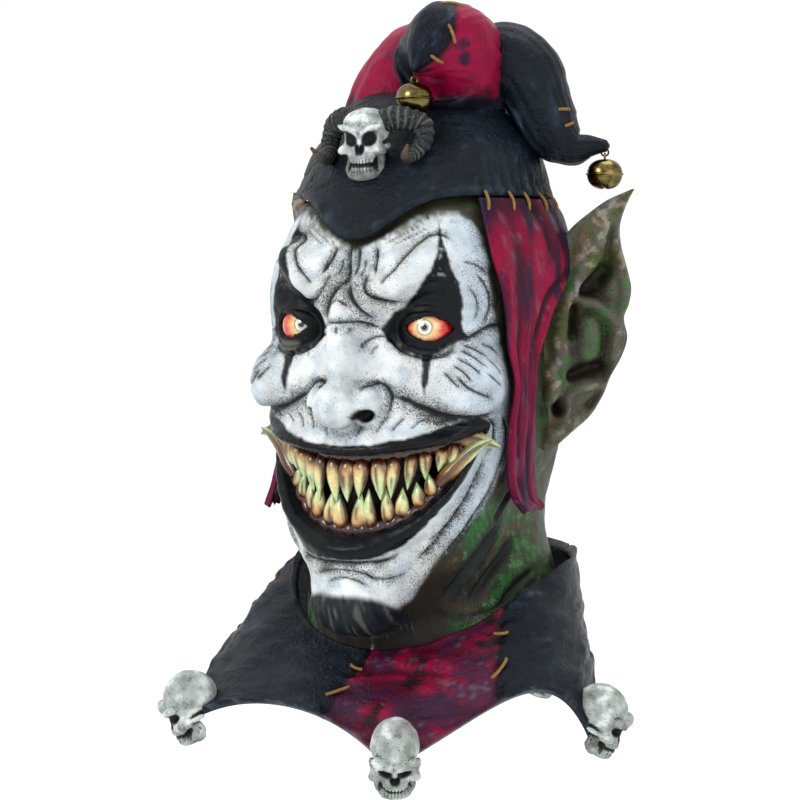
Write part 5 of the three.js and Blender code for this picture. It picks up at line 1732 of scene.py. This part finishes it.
def bell(name):
    at, turn = BELL_LOOPS[name]
    at = np.array(at, float)
    rise, around = np.meshgrid(np.radians(np.linspace(-88, 88, BELL_ROWS)), turns(BELL_AROUND), indexing="ij")
    z = BELL_HALF_HEIGHT * np.sin(rise)
    out = BELL_R * np.cos(rise) ** 0.8 + BELL_RIDGE * np.exp(-((z / 0.55) ** 2))
    rings = np.stack([out * np.cos(around), out * np.sin(around), z], -1)
    below = ramp(-0.25, -0.4, z / BELL_HALF_HEIGHT)
    from_middle, beside = np.abs(rings[..., 0]), rings[..., 1]
    holes = np.exp(-((np.hypot(from_middle - SLOT_HALF_LENGTH, beside) / 1.6) ** 4)) * below
    slot = np.exp(-((beside / 0.8) ** 4)) * below * (from_middle < SLOT_HALF_LENGTH)
    slot = np.maximum(slot, holes)
    rings = placed(rings * (1 - SLOT_DEPTH * slot)[..., None], 0, turn + 90, at - UP * BELL_DROP)
    eye_at = at - UP * (BELL_DROP - BELL_HALF_HEIGHT - BELL_EYE_R + BELL_EYE_SUNK)
    ring = hoop(BELL_EYE_R, BELL_EYE_WIRE, turn + 90, eye_at)
    # The slot and holes, pressed in a little, are painted near black as the shade inside the bell.
    grime_and_shade = np.concatenate([with_poles(slot), np.zeros(len(ring[0]))])
    shape = joined([tube(rings), ring])
    make_piece(f"bell_{name}", shape, "brass", PAINT["amber"], grime_and_shade, body=BELL_BODIES[name])
    make_piece(f"bell_loop_{name}", hoop(LOOP_R, LOOP_WIRE, turn, at), "thread", PAINT["loop"])


# Stitches: short cords that cross a seam
STITCH_R = 1.1
STITCH_BOW = 2.2
STITCH_SUNK = 1.2
STITCH_STATIONS = 14
STITCH_AROUND = 10
STITCH_ALONG = 28
# Where stitches lie: rows of the front point with the way each slants, rows of the left point, columns of a
# lappet, and shares of the collar with how far each slants
FRONT_STITCHES = [(66, 1), (75, -1), (85, 1), (95, -1)]
LEFT_STITCHES = [66, 76]
LAPPET_STITCHES = [2, 11, 18, 27, 36]
LAPPET_STITCH_ROW = 7
COLLAR_STITCHES = [(0.22, 0.02), (0.48, -0.05)]
COLLAR_STITCH_ANGLE = 2.6  # to each side of the seam


def staple(start, end, out):
    """A cord from start to end that bows out and dips into the latex at both ends."""
    share = np.linspace(0, 1, STITCH_STATIONS)
    bow = (STITCH_BOW * np.sin(np.pi * share) ** 0.6 - STITCH_SUNK)[:, None] * out
    path = mix(start, end, share[:, None]) + bow
    stations = np.column_stack([path, np.full(STITCH_STATIONS, STITCH_R)])
    return tube(sweep(stations, STITCH_AROUND, STITCH_ALONG, up=out))


def outward(points, i, j):
    """The way that a grid faces at one of its points."""
    across = points[i, (j + 1) % points.shape[1]] - points[i, j - 1]
    along = points[min(i + 1, len(points) - 1)] - points[max(i - 1, 0)]
    return unit(np.cross(along[j], across))


def surface_staple(points, i, j, di, dj):
    """A staple across a place on a grid, running di rows and dj columns to each side of it."""
    columns = points.shape[1]
    start = points[i - di, (j - dj) % columns]
    end = points[i + di, (j + dj) % columns]
    normal = outward(points, i, j)
    return staple(start, end, normal * np.sign(normal @ (points[i, j] - points[i].mean(0))))


def stitches(front_point, left_point, lappets):
    cords = []
    for row, slant in FRONT_STITCHES:
        column = round(POINT_AROUND * seam_turn(row / (POINT_ALONG - 1)) / (2 * np.pi))
        cords.append(surface_staple(front_point, row, column, slant, 4))
    for row in LEFT_STITCHES:
        cords.append(surface_staple(left_point, row, POINT_AROUND // 8, 1, 4))
    for front in lappets.values():
        for column in LAPPET_STITCHES:
            low = front[LAPPET_STITCH_ROW, column]
            angle = angle_of(low)
            high = cap_surface(angle, rim_rise(angle) + 2.4, CAP_TOP + 1.5)
            cords.append(staple(high, low, 1.6 * heading(angle)))
    for edge in PANEL_EDGES:
        for share, slant in COLLAR_STITCHES:
            start = collar_point(edge - COLLAR_STITCH_ANGLE, share - slant, COLLAR_HALF_WALL + 0.5)
            end = collar_point(edge + COLLAR_STITCH_ANGLE, share + slant, COLLAR_HALF_WALL + 0.5)
            cords.append(staple(start, end, heading(np.array(float(edge)))))
    piece = new_piece("stitches", joined(cords), "thread", PAINT["thread"])
    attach(piece, MASK)


head_skin()
for side_name, side_sign in SIDES.items():
    eye(side_name, side_sign)
    tusks(side_name, side_sign)
    ear(side_name, side_sign)
teeth("upper")
teeth("lower")
cap_crown()
point_grids = {name: cap_point(name) for name in CAP_POINTS}
lappet_grids = {name: lappet(name, side) for name, side in SIDES.items()}
collar()
collar_skulls()
brooch()
for bell_name in BELL_LOOPS:
    bell(bell_name)
stitches(point_grids["front"], point_grids["left"], lappet_grids)

# Camera, light and floor
CAMERA_AZIMUTH = 27
CAMERA_ELEVATION = 5
CAMERA_DISTANCE = 1300
CAMERA_TARGET = np.array([0, -20, -185])
PIXELS_PER_MM = 1.47
FRAME_PIXELS = 800
SENSOR = 36
FRAME_CENTRE_X = 404
FLOOR_DROP = 260
FLOOR_HALF = 6  # metres
FLOOR_WHITE = 0.97
WORLD_STRENGTH = 1.04
GAMMA = 0.92
# name, place in metres, size, watts
LAMPS = [
    ("key", (-0.5, -1.4, 0.7), 0.7, 13),
    ("fill", (1.4, -0.8, 0.2), 0.8, 5),
    ("top", (0.2, 0.3, 1.2), 0.9, 7),
]


def stage():
    elevation = math.radians(CAMERA_ELEVATION)
    back = heading(np.array(float(CAMERA_AZIMUTH))) * math.cos(elevation) + UP * math.sin(elevation)
    camera = bpy.data.objects.new("camera", bpy.data.cameras.new("camera"))
    camera.location = Vector((CAMERA_TARGET + back * CAMERA_DISTANCE) * MM)
    camera.rotation_euler = Vector(-back).to_track_quat("-Z", "Y").to_euler()
    camera.data.sensor_width = SENSOR
    camera.data.lens = SENSOR * PIXELS_PER_MM * CAMERA_DISTANCE / FRAME_PIXELS
    camera.data.shift_x = -(FRAME_CENTRE_X - FRAME_PIXELS / 2) / FRAME_PIXELS
    bpy.context.scene.collection.objects.link(camera)
    bpy.context.scene.camera = camera

    material, _, shader = new_material("floor")
    shader.inputs["Base Color"].default_value = (FLOOR_WHITE, FLOOR_WHITE, FLOOR_WHITE, 1)
    shader.inputs["Roughness"].default_value = 0.9
    mesh = bpy.data.meshes.new("floor")
    low = cad_low.z - FLOOR_DROP * MM
    corners = [(x * FLOOR_HALF, y * FLOOR_HALF, low) for x, y in ((-1, -1), (1, -1), (1, 1), (-1, 1))]
    mesh.from_pydata(corners, [], [[0, 1, 2, 3]])
    mesh.materials.append(material)
    floor = bpy.data.objects.new("floor", mesh)
    bpy.context.scene.collection.objects.link(floor)

    world = bpy.data.worlds.new("studio")
    bpy.context.scene.world = world
    world.use_nodes = True
    background = world.node_tree.nodes["Background"]
    background.inputs["Color"].default_value = (1, 1, 1, 1)
    background.inputs["Strength"].default_value = WORLD_STRENGTH
    for name, place, size, watts in LAMPS:
        light = bpy.data.lights.new(name, "AREA")
        light.energy = watts
        light.size = size
        lamp = bpy.data.objects.new(name, light)
        lamp.location = place
        aim = Vector(CAMERA_TARGET * MM) - lamp.location
        lamp.rotation_euler = aim.to_track_quat("-Z", "Y").to_euler()
        bpy.context.scene.collection.objects.link(lamp)
    bpy.context.scene.view_settings.view_transform = "Standard"
    bpy.context.scene.view_settings.gamma = GAMMA


stage()
